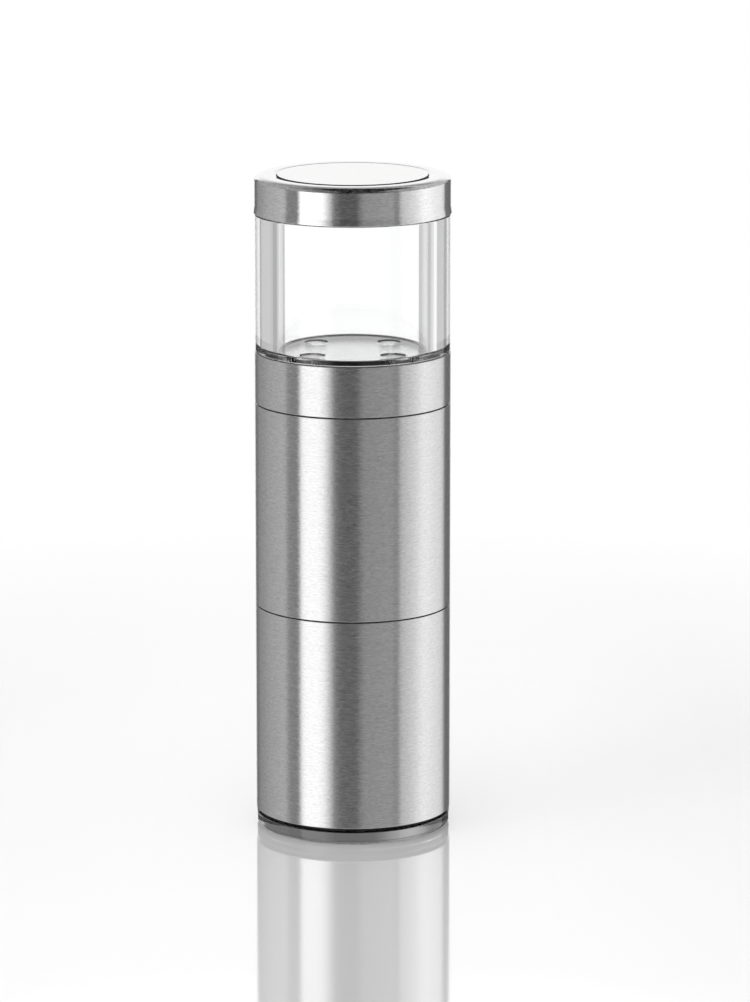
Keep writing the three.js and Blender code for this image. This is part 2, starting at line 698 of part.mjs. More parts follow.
// Cap shell: a drawn steel cap with a hole for the disc and a slight flare at its rim
function capShell() {
  const rim = BODY_RADIUS + CAP_FLARE;
  const flareTop = capBottom + CAP_FLARE_HEIGHT;
  return part('cap_shell', revolve([
    [rim - CAP_WALL, capBottom],
    [rim - SLEEVE_EDGE, capBottom],
    [rim, capBottom + SLEEVE_EDGE],
    [BODY_RADIUS, flareTop],
    ...arc(BODY_RADIUS - capRound, capTop - capRound, capRound, 0, 90),
    [capHoleRadius, capTop],
    [capHoleRadius, capTop - CAP_WALL],
    ...arc(capInside - CAP_INNER_ROUND, capTop - CAP_WALL - CAP_INNER_ROUND, CAP_INNER_ROUND, 90, 0, 1),
    [capInside, flareTop],
  ]), brushedSteel);
}

// Cap insert: the white disc that shows on top, a skirt inside the shell and the sealing plug
function capInsert() {
  const skirtBottom = capBottom + LINER_SETBACK;
  return part('cap_insert', revolve([
    [0, insertCeiling],
    [capSeal.inside, insertCeiling],
    [capSeal.inside, capPlugBottom],
    [capSeal.plug - JAR_EDGE, capPlugBottom],
    [capSeal.plug, capPlugBottom + JAR_EDGE],
    ...grooveProfile(capSeal),
    [capSeal.plug, insertFlangeBottom],
    [skirtInside, insertFlangeBottom],
    [skirtInside, skirtBottom],
    [insertRadius, skirtBottom],
    [insertRadius, insertShoulder - capRound],
    [insertRadius - capRound, insertShoulder],
    [capDiscRadius, insertShoulder],
    [capDiscRadius, capTop - SLEEVE_EDGE],
    [capDiscRadius - SLEEVE_EDGE, capTop],
    [0, capTop],
  ]), whitePlastic);
}

// Drive shaft: hexagonal bar with a round head, riveted through the stop at its lower end
function driveShaft() {
  const headBottom = shaftPocketFloor + REST_GAP;
  const head = rod(SHAFT_HEAD_RADIUS, headBottom, headBottom + SHAFT_HEAD_HEIGHT);
  const bar = rod(shaftCorner, shaftBottom, headBottom + SHAFT_HEAD_HEIGHT / 2, 6);
  const rivet = rod(RIVET_RADIUS, rivetBottom, shaftBottom + STOP_THICKNESS, FASTENER_SEGMENTS);
  return part('drive_shaft', head.add(bar).add(rivet), springSteel);
}

function shaftStop() {
  const hole = RIVET_RADIUS + SLIDE_GAP;
  return part('shaft_stop', ring(hole, STOP_RADIUS, stopBottom, stopTop, SMALL_SEGMENTS), springSteel);
}

function springSeat() {
  const hole = rod(shaftHoleCorner, seatBottom - CUT_PAST, seatTop + CUT_PAST, 6);
  return part('spring_seat', rod(springLedgeRadius, seatBottom, seatTop).subtract(hole), springSteel);
}

// Claw sleeve: slides on the hexagonal shaft; its lower bore runs past the stop
function clawSleeve() {
  const flangeTop = clawSleeveBottom + CLAW_FLANGE_HEIGHT;
  const turned = revolve([
    [clawBoreRadius, clawSleeveBottom],
    [springLedgeRadius, clawSleeveBottom],
    [springLedgeRadius, flangeTop],
    [clawSleeveRadius, flangeTop],
    [clawSleeveRadius, clawSleeveTop],
    [0, clawSleeveTop],
    [0, guideBottom],
    [clawBoreRadius, guideBottom],
  ], SMALL_SEGMENTS);
  const hexBore = rod(shaftHoleCorner, guideBottom - CUT_PAST, clawSleeveTop + CUT_PAST, 6);
  return part('claw_sleeve', turned.subtract(hexBore), blackPlastic);
}

function clawPlug() {
  const hole = screwHole(clawPlugBottom - CUT_PAST, clawPlugBottom + CLAW_SCREW_LENGTH);
  return part('claw_plug', rod(clawPlugRadius, clawPlugBottom, clawPlugTop).subtract(hole), acetal);
}

// Claw plate: a steel disc with pointed prongs bent down round its rim to grip the nut
function clawPlate() {
  const hole = screwHole(clawPlateBottom - CUT_PAST, clawPlateTop + CUT_PAST);
  const prongs = aroundAxis(PRONG_COUNT, (turn) => {
    const outline = new THREE.Shape([
      new THREE.Vector2(-PRONG_WIDTH / 2, 0),
      new THREE.Vector2(0, -PRONG_LENGTH),
      new THREE.Vector2(PRONG_WIDTH / 2, 0),
      new THREE.Vector2(PRONG_WIDTH / 2, CLAW_PLATE_THICKNESS / 2),
      new THREE.Vector2(-PRONG_WIDTH / 2, CLAW_PLATE_THICKNESS / 2),
    ]);
    const spike = new THREE.ExtrudeGeometry(outline, { depth: CLAW_PLATE_THICKNESS, bevelEnabled: false });
    spike.rotateX(Math.PI / 2).translate(0, CLAW_PLATE_RADIUS - SLIDE_GAP, clawPlateBottom);
    return solidOf(spike.rotateZ(turn));
  });
  const plate = rod(CLAW_PLATE_RADIUS, clawPlateBottom, clawPlateTop).subtract(hole);
  return part('claw_plate', plate.add(sum(prongs)), bladeSteel);
}

function clawScrew() {
  const headTop = clawPlateBottom - END_PLAY;
  const headBottom = headTop - CLAW_SCREW_HEAD_HEIGHT;
  const head = rod(CLAW_SCREW_HEAD_RADIUS, headBottom, headTop);
  const shankTop = clawPlugBottom + CLAW_SCREW_LENGTH - REST_GAP;
  const shank = screwShank(headTop - CLAW_SCREW_HEAD_HEIGHT / 2, shankTop);
  const slot = driveSlot(CLAW_SCREW_HEAD_RADIUS, headBottom - CUT_PAST, headBottom + DRIVE_SLOT_DEPTH);
  return part('claw_screw', head.add(shank).subtract(slot), springSteel);
}

// Feed spring: one wire, close at both ends and open between, as one unbroken tube
function springPoint(turns) {
  const low = springBottom + SPRING_WIRE / 2;
  const high = springTop - SPRING_WIRE / 2;
  const openPitch = (high - low - 2 * springEndPitch) / (SPRING_TURNS - 2);
  const open = THREE.MathUtils.clamp(turns - 1, 0, SPRING_TURNS - 2);
  const height = low + (turns - open) * springEndPitch + open * openPitch;
  const angle = 2 * Math.PI * turns;
  return new THREE.Vector3(springRadius * Math.cos(angle), springRadius * Math.sin(angle), height);
}

function feedSpring() {
  const count = Math.round(SPRING_TURNS * SPRING_STEPS);
  const centres = Array.from({ length: count + 1 }, (_, i) => springPoint(i / SPRING_STEPS));
  const positions = [];
  centres.forEach((centre, i) => {
    const ahead = centres[Math.min(i + 1, count)].clone().sub(centres[Math.max(i - 1, 0)]).normalize();
    const outward = new THREE.Vector3(centre.x, centre.y, 0).normalize();
    const across = new THREE.Vector3().crossVectors(ahead, outward).normalize();
    for (let k = 0; k < SPRING_SIDES; k += 1) {
      const angle = (2 * Math.PI * k) / SPRING_SIDES;
      const corner = centre.clone().addScaledVector(outward, (SPRING_WIRE / 2) * Math.cos(angle));
      positions.push(...corner.addScaledVector(across, (SPRING_WIRE / 2) * Math.sin(angle)).toArray());
    }
  });
  const faces = [];
  for (let i = 0; i < count; i += 1) {
    for (let k = 0; k < SPRING_SIDES; k += 1) {
      const a = i * SPRING_SIDES + k;
      const b = i * SPRING_SIDES + ((k + 1) % SPRING_SIDES);
      faces.push(a, b, b + SPRING_SIDES, a, b + SPRING_SIDES, a + SPRING_SIDES);
    }
  }
  const last = count * SPRING_SIDES;
  for (let k = 1; k < SPRING_SIDES - 1; k += 1) {
    faces.push(0, k + 1, k, last, last + k, last + k + 1);
  }
  const geometry = new THREE.BufferGeometry();
  geometry.setAttribute('position', new THREE.Float32BufferAttribute(positions, 3));
  geometry.setIndex(faces);
  printLeastGap(centres);
  return part('feed_spring', solidOf(geometry), springSteel);
}

// The least gap between turns is measured from each centre to every one half a turn or more away.
function printLeastGap(centres) {
  let least = Infinity;
  centres.forEach((from, i) => {
    for (let k = i + SPRING_STEPS / 2; k < centres.length; k += 1) {
      least = Math.min(least, from.distanceTo(centres[k]) - SPRING_WIRE);
    }
  });
  console.log(`feed_spring: least gap to itself ${least.toFixed(2)} mm`);
}

// Bodies that move as one
function body(name, ...parts) {
  const group = new THREE.Group();
  group.name = name;
  group.add(...parts);
  return group;
}

const group = new THREE.Group();
group.name = 'nutmeg_grater';
group.add(
  body('base_lid', aromaLid(), seal('lid_seal', lidSeal, clearSilicone)),
  body(
    'grinder',
    sleeve('lower_sleeve', lowerSleeveBottom, lowerSleeveTop),
    lowerLiner(),
    nutChamber(),
    bladeDisc(),
    bladeRetainer(),
  ),
  body(
    'spring_housing',
    sleeve('mid_sleeve', midSleeveBottom, midSleeveTop),
    midLiner(),
    bearingPlate(),
    seal('spigot_seal', spigotSeal, clearSilicone),
    thrustWasher(),
  ),
  body(
    'head',
    sleeve('head_ring', headRingBottom, headRingTop),
    headCore(),
    hubClip(),
    deckPlate(),
    jarGasket(),
    storageJar(),
    ...Object.entries(screwPlaces).map(jarScrew),
    driveShaft(),
    shaftStop(),
    springSeat(),
    feedSpring(),
  ),
  body('claw', clawSleeve(), clawPlug(), clawPlate(), clawScrew()),
  body('cap', capShell(), capInsert(), seal('cap_seal', capSeal, clearSilicone)),
);

export default group;
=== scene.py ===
# %% [markdown]
# # A nutmeg grater in a small studio
# The grater is a stack of turned parts on one upright axis: a clear foot, two steel-clad bodies, a
# turning head with a clear jar, and a steel cap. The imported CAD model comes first. It is the frame
# that every dressed piece stands in, so no piece is placed by eye.

# %% Load the frame
import math

import bmesh
import bpy
from mathutils import Matrix, Vector


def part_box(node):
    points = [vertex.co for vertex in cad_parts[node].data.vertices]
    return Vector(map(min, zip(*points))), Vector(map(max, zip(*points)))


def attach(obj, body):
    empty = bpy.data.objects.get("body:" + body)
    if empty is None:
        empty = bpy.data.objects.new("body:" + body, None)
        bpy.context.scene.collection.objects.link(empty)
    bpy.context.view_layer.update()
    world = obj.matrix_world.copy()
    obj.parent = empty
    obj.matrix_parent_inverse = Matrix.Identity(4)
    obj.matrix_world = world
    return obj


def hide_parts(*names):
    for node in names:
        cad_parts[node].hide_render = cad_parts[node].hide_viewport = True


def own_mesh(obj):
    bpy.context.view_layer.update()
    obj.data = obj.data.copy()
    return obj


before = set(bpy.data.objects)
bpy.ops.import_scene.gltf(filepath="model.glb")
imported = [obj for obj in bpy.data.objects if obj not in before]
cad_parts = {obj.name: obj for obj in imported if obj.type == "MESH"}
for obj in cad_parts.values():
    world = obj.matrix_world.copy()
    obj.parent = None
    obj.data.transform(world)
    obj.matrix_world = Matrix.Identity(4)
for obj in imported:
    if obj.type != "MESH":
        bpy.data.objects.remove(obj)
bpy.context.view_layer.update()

# %% [markdown]
# ## Sizes
# Profiles are in millimetres, as on a turner's drawing. A node's box gives its lowest and highest
# point and its widest radius, so each profile starts from the CAD.

# %% Read a node's size in millimetres
MM = 0.001


def low(node):
    return round(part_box(node)[0].z / MM, 3)


def high(node):
    return round(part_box(node)[1].z / MM, 3)


def wide(node):
    return round(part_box(node)[1].x / MM, 3)


def middle(node):
    return (low(node) + high(node)) / 2


def span(node):
    """Lowest point, highest point and widest radius."""
    return low(node), high(node), wide(node)


print("sleeve radius", wide("mid_sleeve"), "mm, overall height", high("cap_shell"), "mm")

# %% [markdown]
# ## Node trees that read as sums
# Materials and geometry trees are both built from nodes. One small class wraps a socket, so that
# `1 - mask * 2` adds the Math nodes by itself. One method adds every other kind of node: its
# settings are set first, because some settings change which sockets a node has.


# %% Wrap a socket and a tree
class Socket:
    """A socket of a node tree that can be used in a sum."""

    def __init__(self, tree, socket):
        self.tree = tree
        self.socket = socket

    def maths(self, operation, *values):
        return self.tree.node("ShaderNodeMath", {"operation": operation}, values)

    def largest(self, other):
        return self.maths("MAXIMUM", self, other)

    def clamped(self, least, most):
        return self.maths("MAXIMUM", self.maths("MINIMUM", self, most), least)


# Python's signs become Math nodes, with the socket on either side of the sign
for sign, operation in {"add": "ADD", "sub": "SUBTRACT", "mul": "MULTIPLY", "pow": "POWER"}.items():
    setattr(Socket, f"__{sign}__", lambda self, other, kind=operation: self.maths(kind, self, other))
    setattr(Socket, f"__r{sign}__", lambda self, other, kind=operation: self.maths(kind, other, self))


class Tree:
    """A node tree, and the one method that adds a node to it."""

    def __init__(self, tree):
        self.tree = tree

    def node(self, kind, settings=None, values=(), output=0):
        made = self.tree.nodes.new(kind)
        for key, value in (settings or {}).items():
            setattr(made, key, value)
        pairs = values.items() if isinstance(values, dict) else enumerate(values)
        for key, value in pairs:
            if isinstance(value, Socket):
                self.tree.links.new(value.socket, made.inputs[key])
            else:
                made.inputs[key].default_value = value
        return Socket(self, made.outputs[output])

    def end(self, kind, value):
        self.tree.links.new(value.socket, self.tree.nodes.new(kind).inputs[0])

    def split(self, vector):
        parts = self.node("ShaderNodeSeparateXYZ", None, [vector]).socket.node
        return [Socket(self, out) for out in parts.outputs]

    def joined(self, x, y, z):
        return self.node("ShaderNodeCombineXYZ", None, [x, y, z])


# %% [markdown]
# ## Finishes
# Each finish is a Principled shader. What varies over the surface feeds only the colour, roughness,
# metallic value or normal; all else is set on the shader's own socket. All patterns read Object
# coordinates, which are metres from the foot of the axis.


# %% Start a finish
class Finish(Tree):
    """A material for one slot of the record, with helpers for patterns in metres."""

    def __init__(self, slot, name=None, **constants):
        self.slot = slot
        self.material = bpy.data.materials.new(name or slot)
        self.material.use_nodes = True
        super().__init__(self.material.node_tree)
        self.shader = self.material.node_tree.nodes["Principled BSDF"]
        for key, value in constants.items():
            self.shader.inputs[key.replace("_", " ")].default_value = value
        self.place = self.node("ShaderNodeTexCoord", output="Object")

    def noise(self, at, detail=2.0, roughness=0.5):
        values = {"Vector": at, "Scale": 1.0, "Detail": detail, "Roughness": roughness}
        return self.node("ShaderNodeTexNoise", None, values)

    def stretched(self, x, y=None, z=None):
        """Object coordinates times a scale along each axis, or times x along all three."""
        y, z = y or x, z or x
        return self.node("ShaderNodeMapping", None, {"Vector": self.place, "Scale": (x, y, z)})

    def between(self, factor, first, second):
        """Mixes two colours, which go into sockets 6 and 7 of the Mix node."""
        values = {0: factor, 6: (*first, 1.0), 7: (*second, 1.0)}
        return self.node("ShaderNodeMix", {"data_type": "RGBA"}, values, output=2)

    def feed(self, name, value):
        self.tree.links.new(value.socket, self.shader.inputs[name])

    def relief(self, height, depth_mm, strength=1.0):
        values = {"Strength": strength, "Distance": depth_mm * MM, "Height": height}
        self.feed("Normal", self.node("ShaderNodeBump", None, values))


# %% [markdown]
# ### Brushed steel
# The sleeves and the cap were brushed while they turned, so the marks run round the axis. On the
# sides they are lines of equal height, and on the cap's flat rim lines of equal radius; height plus
# radius makes both with one pattern. Marks like these blur a reflection across themselves and leave
# it sharp along them, which is what gives a brushed tube its upright bands. Anisotropy does that.
# The cap's shoulder and rim have a finer finish than its side, and the sleeves are alike all over.

# %% Make the brushed steel
# Noise scale round the part, noise scale across the marks, and roughness of the noise
HAIRS, PASSES = (900, 6200, 0.6), (240, 2600, 0.5)
MARK_CONTRAST, MARK_DEPTH = 3.2, 0.035


def brushed(name, dark, bright, metallic, roughness, finer_above):
    steel = Finish("brushed_steel", name, Anisotropic=1.0, Anisotropic_Rotation=0.25)
    x, y, z = steel.split(steel.place)
    across = z + (x * x + y * y) ** 0.5
    hairs, passes = [steel.noise(steel.joined(x * along, y * along, across * fine), 1.0, rough)
                     for along, fine, rough in (HAIRS, PASSES)]
    marks = hairs * 0.75 + passes * 0.25
    contrast = ((marks - 0.5) * MARK_CONTRAST + 0.5).clamped(0.0, 1.0)
    finer = z.maths("GREATER_THAN", z, finer_above * MM)
    steel.feed("Base Color", steel.between(contrast, dark, bright))
    steel.feed("Roughness", roughness + (marks - 0.5) * 0.10 - finer * 0.10)
    steel.feed("Metallic", metallic - (contrast - 0.5) * 0.07)
    steel.relief(marks, MARK_DEPTH, strength=0.5)
    return steel


sleeve_steel = brushed("sleeve_steel", (0.58, 0.58, 0.585), (0.72, 0.72, 0.72), 0.93, 0.23,
                       finer_above=high("cap_shell") + 1.0)
cap_steel = brushed("cap_steel", (0.66, 0.66, 0.665), (0.82, 0.82, 0.82), 0.97, 0.15,
                    finer_above=high("cap_shell") - 1.0)
print("brushed steel:", len(sleeve_steel.tree.nodes), "nodes")

# %% [markdown]
# ### Sheet and drawn steel
# The blade disc, the deck plate and the claw are stamped from bright sheet, which keeps a faint
# straight grain from the rolls. Screws, clip, shaft and spring are drawn or turned, with a little
# mottling where they were handled.


# %% Make the sheet steel and the drawn steel
def sheet_steel(name, dark, bright, roughness):
    sheet = Finish("blade_steel", name, Metallic=1.0)
    grain = sheet.noise(sheet.stretched(60, 4200, 60), detail=3.0)
    cloud = sheet.noise(sheet.stretched(120), detail=2.0)
    sheet.feed("Base Color", sheet.between(grain, dark, bright))
    sheet.feed("Roughness", roughness * (0.5 + grain * 0.6 + cloud * 0.4))
    sheet.relief(grain, 0.003, strength=0.3)
    return sheet


def drawn_steel(name, dark, bright):
    drawn = Finish("spring_steel", name, Metallic=1.0)
    lines = drawn.noise(drawn.stretched(300, 300, 2600), detail=2.0)
    cloud = drawn.noise(drawn.stretched(220), detail=3.0)
    drawn.feed("Base Color", drawn.between(cloud, dark, bright))
    drawn.feed("Roughness", 0.20 + lines * 0.14)
    drawn.relief(lines, 0.002, strength=0.3)
    return drawn


blade_steel = sheet_steel("blade_steel", (0.66, 0.66, 0.66), (0.78, 0.78, 0.775), 0.25)
deck_steel = sheet_steel("deck_steel", (0.92, 0.92, 0.92), (0.98, 0.98, 0.98), 0.06)
spring_steel = drawn_steel("spring_steel", (0.42, 0.42, 0.43), (0.56, 0.56, 0.565))
screw_steel = drawn_steel("screw_steel", (0.84, 0.84, 0.84), (0.92, 0.92, 0.92))
print("sheet and drawn steel made")

# %% [markdown]
# ### Plastics and rubber
# Moulded parts copy the skin of their mould: a very fine pebble on the black and white plastic, and
# a coarser, matt one on rubber, in the normal and the roughness. The clear parts are polished
# acrylic, with only the faintest handling marks.


# %% Make the plastics and the rubber
def moulded(slot, dark, pale, roughness, grain_per_m, depth_mm, **constants):
    plastic = Finish(slot, **constants)
    pebble = plastic.noise(plastic.stretched(grain_per_m), detail=2.0)
    cloud = plastic.noise(plastic.stretched(70), detail=3.0)
    plastic.feed("Base Color", plastic.between(cloud, dark, pale))
    plastic.feed("Roughness", roughness - 0.06 + pebble * 0.08 + cloud * 0.04)
    plastic.relief(pebble, depth_mm, strength=0.4)
    return plastic


def polished_clear(name, **constants):
    clear = Finish("clear_plastic", name, Transmission_Weight=1.0, IOR=1.49, **constants)
    wipes = clear.noise(clear.stretched(90, 90, 240), detail=3.0)
    clear.feed("Base Color", clear.between(wipes, (0.985, 0.99, 0.99), (1.0, 1.0, 1.0)))
    clear.feed("Roughness", (wipes - 0.45).clamped(0.0, 1.0) * 0.02)
    return clear


black_plastic = moulded("black_plastic", (0.008, 0.008, 0.009), (0.014, 0.014, 0.015), 0.30, 5200, 0.006,
                        Specular_IOR_Level=0.35)
white_plastic = moulded("white_plastic", (0.96, 0.96, 0.955), (0.98, 0.98, 0.975), 0.42, 4200, 0.004)
black_rubber = moulded("black_rubber", (0.012, 0.012, 0.012), (0.022, 0.022, 0.022), 0.62, 2600, 0.012)
acetal = moulded("natural_acetal", (0.76, 0.76, 0.73), (0.82, 0.82, 0.79), 0.38, 4200, 0.004)
silicone = moulded("clear_silicone", (0.80, 0.81, 0.81), (0.86, 0.87, 0.87), 0.42, 3200, 0.006,
                   Transmission_Weight=0.7, IOR=1.41)
jar_clear = polished_clear("jar_clear")
foot_clear = polished_clear("foot_clear", Specular_IOR_Level=0.2)
print("plastics and rubber made")

# %% [markdown]
# ## Turned pieces
# Nearly every part of the grater is a solid of revolution, spun in code from its profile. A corner
# may carry a fillet, so that it catches the light as a real broken edge does, and a ring of points
# just beyond each fillet keeps the flat next to it evenly shaded. The UV map runs round the part,
# which tells the brushed steel which way its marks go.

# %% Spin a profile with broken edges
FACETS, SHANK_FACETS, FILLET_STEPS = 192, 40, 5
# In mm: how far a holding ring lies from its fillet, and the radius that counts as on the axis
HOLD, ON_AXIS = 0.04, 1e-6
SHARP = math.radians(40)


def fillet(before, corner, after, radius):
    """Points of an arc that rounds one corner of a profile, with a holding point at each end."""
    to_before, to_after = (before - corner), (after - corner)
    room = min(to_before.length, to_after.length)
    to_before.normalize()
    to_after.normalize()
    half = to_before.angle(to_after) / 2
    reach = radius / math.tan(half)
    centre = corner + (to_before + to_after).normalized() * (radius / math.sin(half))
    start, end = corner + to_before * reach, corner + to_after * reach
    turn = (start - centre).angle_signed(end - centre)
    points = [centre + Matrix.Rotation(-turn * i / FILLET_STEPS, 2) @ (start - centre)
              for i in range(FILLET_STEPS + 1)]
    if room > reach + 4 * HOLD:
        points = [start + to_before * HOLD, *points, end + to_after * HOLD]
    return points


def rounded(corners):
    """A profile in mm from corners (radius, height) or (radius, height, fillet)."""
    at = [Vector(corner[:2]) for corner in corners]
    points = []
    for i, corner in enumerate(corners):
        radius = corner[2] if len(corner) > 2 else 0
        if radius:
            points += fillet(at[i - 1], at[i], at[(i + 1) % len(at)], radius)
        else:
            points.append(at[i])
    return points


def turned(name, corners, facets=FACETS):
    """A closed solid spun from a profile that starts and ends on the axis, or goes round a wall."""
    points = rounded(corners)
    closed = points[0].x > ON_AXIS
    bm = bmesh.new()
    uv = bm.loops.layers.uv.new("UVMap")
    rings = []
    for point in points:
        count = facets if point.x > ON_AXIS else 1
        rings.append([bm.verts.new((point.x * MM * math.cos(2 * math.pi * k / facets),
                                    point.x * MM * math.sin(2 * math.pi * k / facets),
                                    point.y * MM)) for k in range(count)])
    along = 0.0
    for i in range(len(points) if closed else len(points) - 1):
        j = (i + 1) % len(points)
        step = (points[j] - points[i]).length * MM
        for k in range(facets):
            corners_of = []
            for ring, dk, v in ((i, 0, along), (i, 1, along), (j, 1, along + step), (j, 0, along + step)):
                vert = rings[ring][(k + dk) % len(rings[ring])]
                if all(vert is not other for other, _ in corners_of):
                    corners_of.append((vert, ((k + dk) / facets, v)))
            face = bm.faces.new([vert for vert, _ in corners_of])
            for loop, (_, place) in zip(face.loops, corners_of):
                loop[uv].uv = place
        along += step
    bmesh.ops.recalc_face_normals(bm, faces=bm.faces)
    return piece_from(name, bm)


def ring(name, node, inside, inner_edge, outer_edge, outside=None):
    """A plain tube or washer at a node's place, with broken edges."""
    bottom, top, widest = span(node)
    outside = outside or widest
    return turned(name, [(inside, bottom, inner_edge), (outside, bottom, outer_edge),
                         (outside, top, outer_edge), (inside, top, inner_edge)])


def piece_from(name, bm):
    """An object from a bmesh, smooth except at sharp edges."""
    mesh = bpy.data.meshes.new(name)
    bm.to_mesh(mesh)
    bm.free()
    piece = placed(name, mesh)
    smooth(piece)
    return piece


def placed(name, data):
    """An object of the scene."""
    made = bpy.data.objects.new(name, data)
    bpy.context.scene.collection.objects.link(made)
    return made


def smooth(piece):
    piece.data.shade_smooth()
    piece.data.set_sharp_from_angle(angle=SHARP)


# %% [markdown]
# ## Cutting, joining and repeating
# Holes, slots and the blade's teeth are cut with Boolean modifiers. What repeats round the axis or
# in a row comes from two Geometry Nodes trees with named inputs.


# %% Cut or join, and keep the result
def bake(piece):
    """Replaces a piece's mesh by what its modifiers make of it."""
    result = piece.evaluated_get(bpy.context.evaluated_depsgraph_get())
    mesh = bpy.data.meshes.new_from_object(result)
    piece.modifiers.clear()
    piece.data = mesh
    smooth(piece)
    return piece


def combine(piece, tool, operation):
    step = piece.modifiers.new(operation, "BOOLEAN")
    step.operation = operation
    step.solver = "EXACT"
    step.object = tool
    bake(piece)
    bpy.data.objects.remove(tool)
    return piece


def cut(piece, *tools):
    for tool in tools:
        combine(piece, tool, "DIFFERENCE")
    return piece


def join(piece, *additions):
    for addition in additions:
        combine(piece, addition, "UNION")
    return piece


def rod(name, radius, bottom, top, facets=64, edge=0.0):
    """A round bar on the axis."""
    return turned(name, [(0, bottom), (radius, bottom, edge), (radius, top, edge), (0, top)], facets)


def bar(name, lowest, highest, edge=0.0, angle=0.0):
    """A block from its low and high corners in mm, with broken edges, turned about the axis."""
    bm = bmesh.new()
    bmesh.ops.create_cube(bm, size=1.0)
    size = Vector(highest) - Vector(lowest)
    centre = (Vector(highest) + Vector(lowest)) / 2
    bmesh.ops.scale(bm, vec=size * MM, verts=bm.verts)
    bmesh.ops.translate(bm, vec=centre * MM, verts=bm.verts)
    if edge:
        bmesh.ops.bevel(bm, geom=bm.edges[:], offset=edge * MM, segments=2, affect="EDGES", profile=0.5)
    bmesh.ops.rotate(bm, cent=(0, 0, 0), matrix=Matrix.Rotation(angle, 3, "Z"), verts=bm.verts)
    return piece_from(name, bm)


def prism(name, start, end):
    """A solid between two outlines with as many points each, in mm."""
    bm = bmesh.new()
    first, last = [[bm.verts.new([v * MM for v in point]) for point in outline] for outline in (start, end)]
    bm.faces.new(first)
    bm.faces.new(last)
    for i in range(len(first)):
        j = (i + 1) % len(first)
        bm.faces.new((first[i], first[j], last[j], last[i]))
    bmesh.ops.recalc_face_normals(bm, faces=bm.faces)
    return piece_from(name, bm)


# %% Build the two repeating trees
def geometry_tree(name, inputs):
    """A Geometry Nodes tree with a Geometry input first, the named inputs, and a Finish last."""
    group = bpy.data.node_groups.new(name, "GeometryNodeTree")
    face = group.interface
    face.new_socket("Geometry", in_out="INPUT", socket_type="NodeSocketGeometry")
    for label, kind in inputs.items():
        face.new_socket(label, in_out="INPUT", socket_type=kind)
    face.new_socket("Finish", in_out="INPUT", socket_type="NodeSocketMaterial")
    face.new_socket("Geometry", in_out="OUTPUT", socket_type="NodeSocketGeometry")
    tree = Tree(group)
    entry = group.nodes.new("NodeGroupInput")
    return tree, {out.name: Socket(tree, out) for out in entry.outputs if out.name}


def close_tree(tree, geometry, finish):
    real = tree.node("GeometryNodeRealizeInstances", None, [geometry])
    dressed = tree.node("GeometryNodeSetMaterial", None, {"Geometry": real, "Material": finish})
    tree.end("NodeGroupOutput", dressed)
    return tree.tree


def ring_tree():
    tree, given = geometry_tree("repeat_round_axis", {"Count": "NodeSocketInt", "Start": "NodeSocketFloat"})
    points = tree.node("GeometryNodePoints", None, {"Count": given["Count"]})
    index = tree.node("GeometryNodeInputIndex")
    angle = given["Start"] + index * (2 * math.pi) * (given["Count"] ** -1.0)
    turned_by = tree.joined(0.0, 0.0, angle)
    copies = tree.node("GeometryNodeInstanceOnPoints", None,
                       {"Points": points, "Instance": given["Geometry"], "Rotation": turned_by})
    return close_tree(tree, copies, given["Finish"])


def row_tree():
    tree, given = geometry_tree("repeat_in_row", {"Count": "NodeSocketInt", "Step": "NodeSocketVector"})
    index = tree.node("GeometryNodeInputIndex")
    line = tree.node("ShaderNodeVectorMath", {"operation": "SCALE"}, {0: given["Step"], "Scale": index})
    points = tree.node("GeometryNodePoints", None, {"Count": given["Count"], "Position": line})
    copies = tree.node("GeometryNodeInstanceOnPoints", None,
                       {"Points": points, "Instance": given["Geometry"]})
    return close_tree(tree, copies, given["Finish"])


def through(piece, tree, finish, **inputs):
    """Runs a piece through a geometry tree and keeps the result."""
    step = piece.modifiers.new(tree.name, "NODES")
    step.node_group = tree
    identifiers = {item.name: item.identifier for item in tree.interface.items_tree
                   if item.in_out == "INPUT"}
    for label, value in {**inputs, "Finish": finish.material}.items():
        step[identifiers[label]] = value
    return bake(piece)


round_axis = ring_tree()
in_row = row_tree()
print("trees:", round_axis.name, in_row.name)


# %% Dress a piece and give it to its body
def dress(piece, body, finish, *nodes):
    piece.data.materials.clear()
    piece.data.materials.append(finish.material)
    piece.data.polygons.foreach_set("material_index", [0] * len(piece.data.polygons))
    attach(piece, body)
    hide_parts(*nodes)
    print(f"{piece.name}: {len(piece.data.polygons)} faces for {', '.join(nodes)}")
    return piece


# %% [markdown]
# ## Steel sleeves
# Three tubes clad the grater: the grating body, the spring housing and the head's ring. One function
# makes them from their CAD boxes.

# %% Make the three sleeves
SLEEVE_WALL = 0.8


def sleeve(name, body, node):
    tube = ring(name, node, wide(node) - SLEEVE_WALL, 0.10, 0.15)
    return dress(tube, body, sleeve_steel, node)


sleeve("lower_tube", "grinder", "lower_sleeve")
sleeve("middle_tube", "spring_housing", "mid_sleeve")
sleeve("head_band", "head", "head_ring")

# %% [markdown]
# ## Cap
# The cap is drawn from thin sheet: a soft shoulder, a flat rim round a hole, and a slight flare where
# it was trimmed at the bottom. The rim dips towards the hole, as punched sheet does. A white moulding
# fills the cap. Its disc shows through the hole and stands a hair above the rim, and its edge is
# painted dark, a thin line of painted shade for the gap. Its plug seals the jar.

# %% Make the cap's steel shell
cap_bottom, cap_top, cap_rim = span("cap_shell")
CAP_SIDE, CAP_WALL, CAP_HOLE = 25.0, 0.7, 19.4
DISC_STEP, SHOULDER_REACH, SHOULDER_DROP = 0.06, 2.6, 1.4
DIP_RADIUS, DIP_DEPTH = 20.6, 0.255
INNER_FLAT, INNER_DROP, FLARE = 22.4, 2.0, 1.8
rim_top = cap_top - DISC_STEP


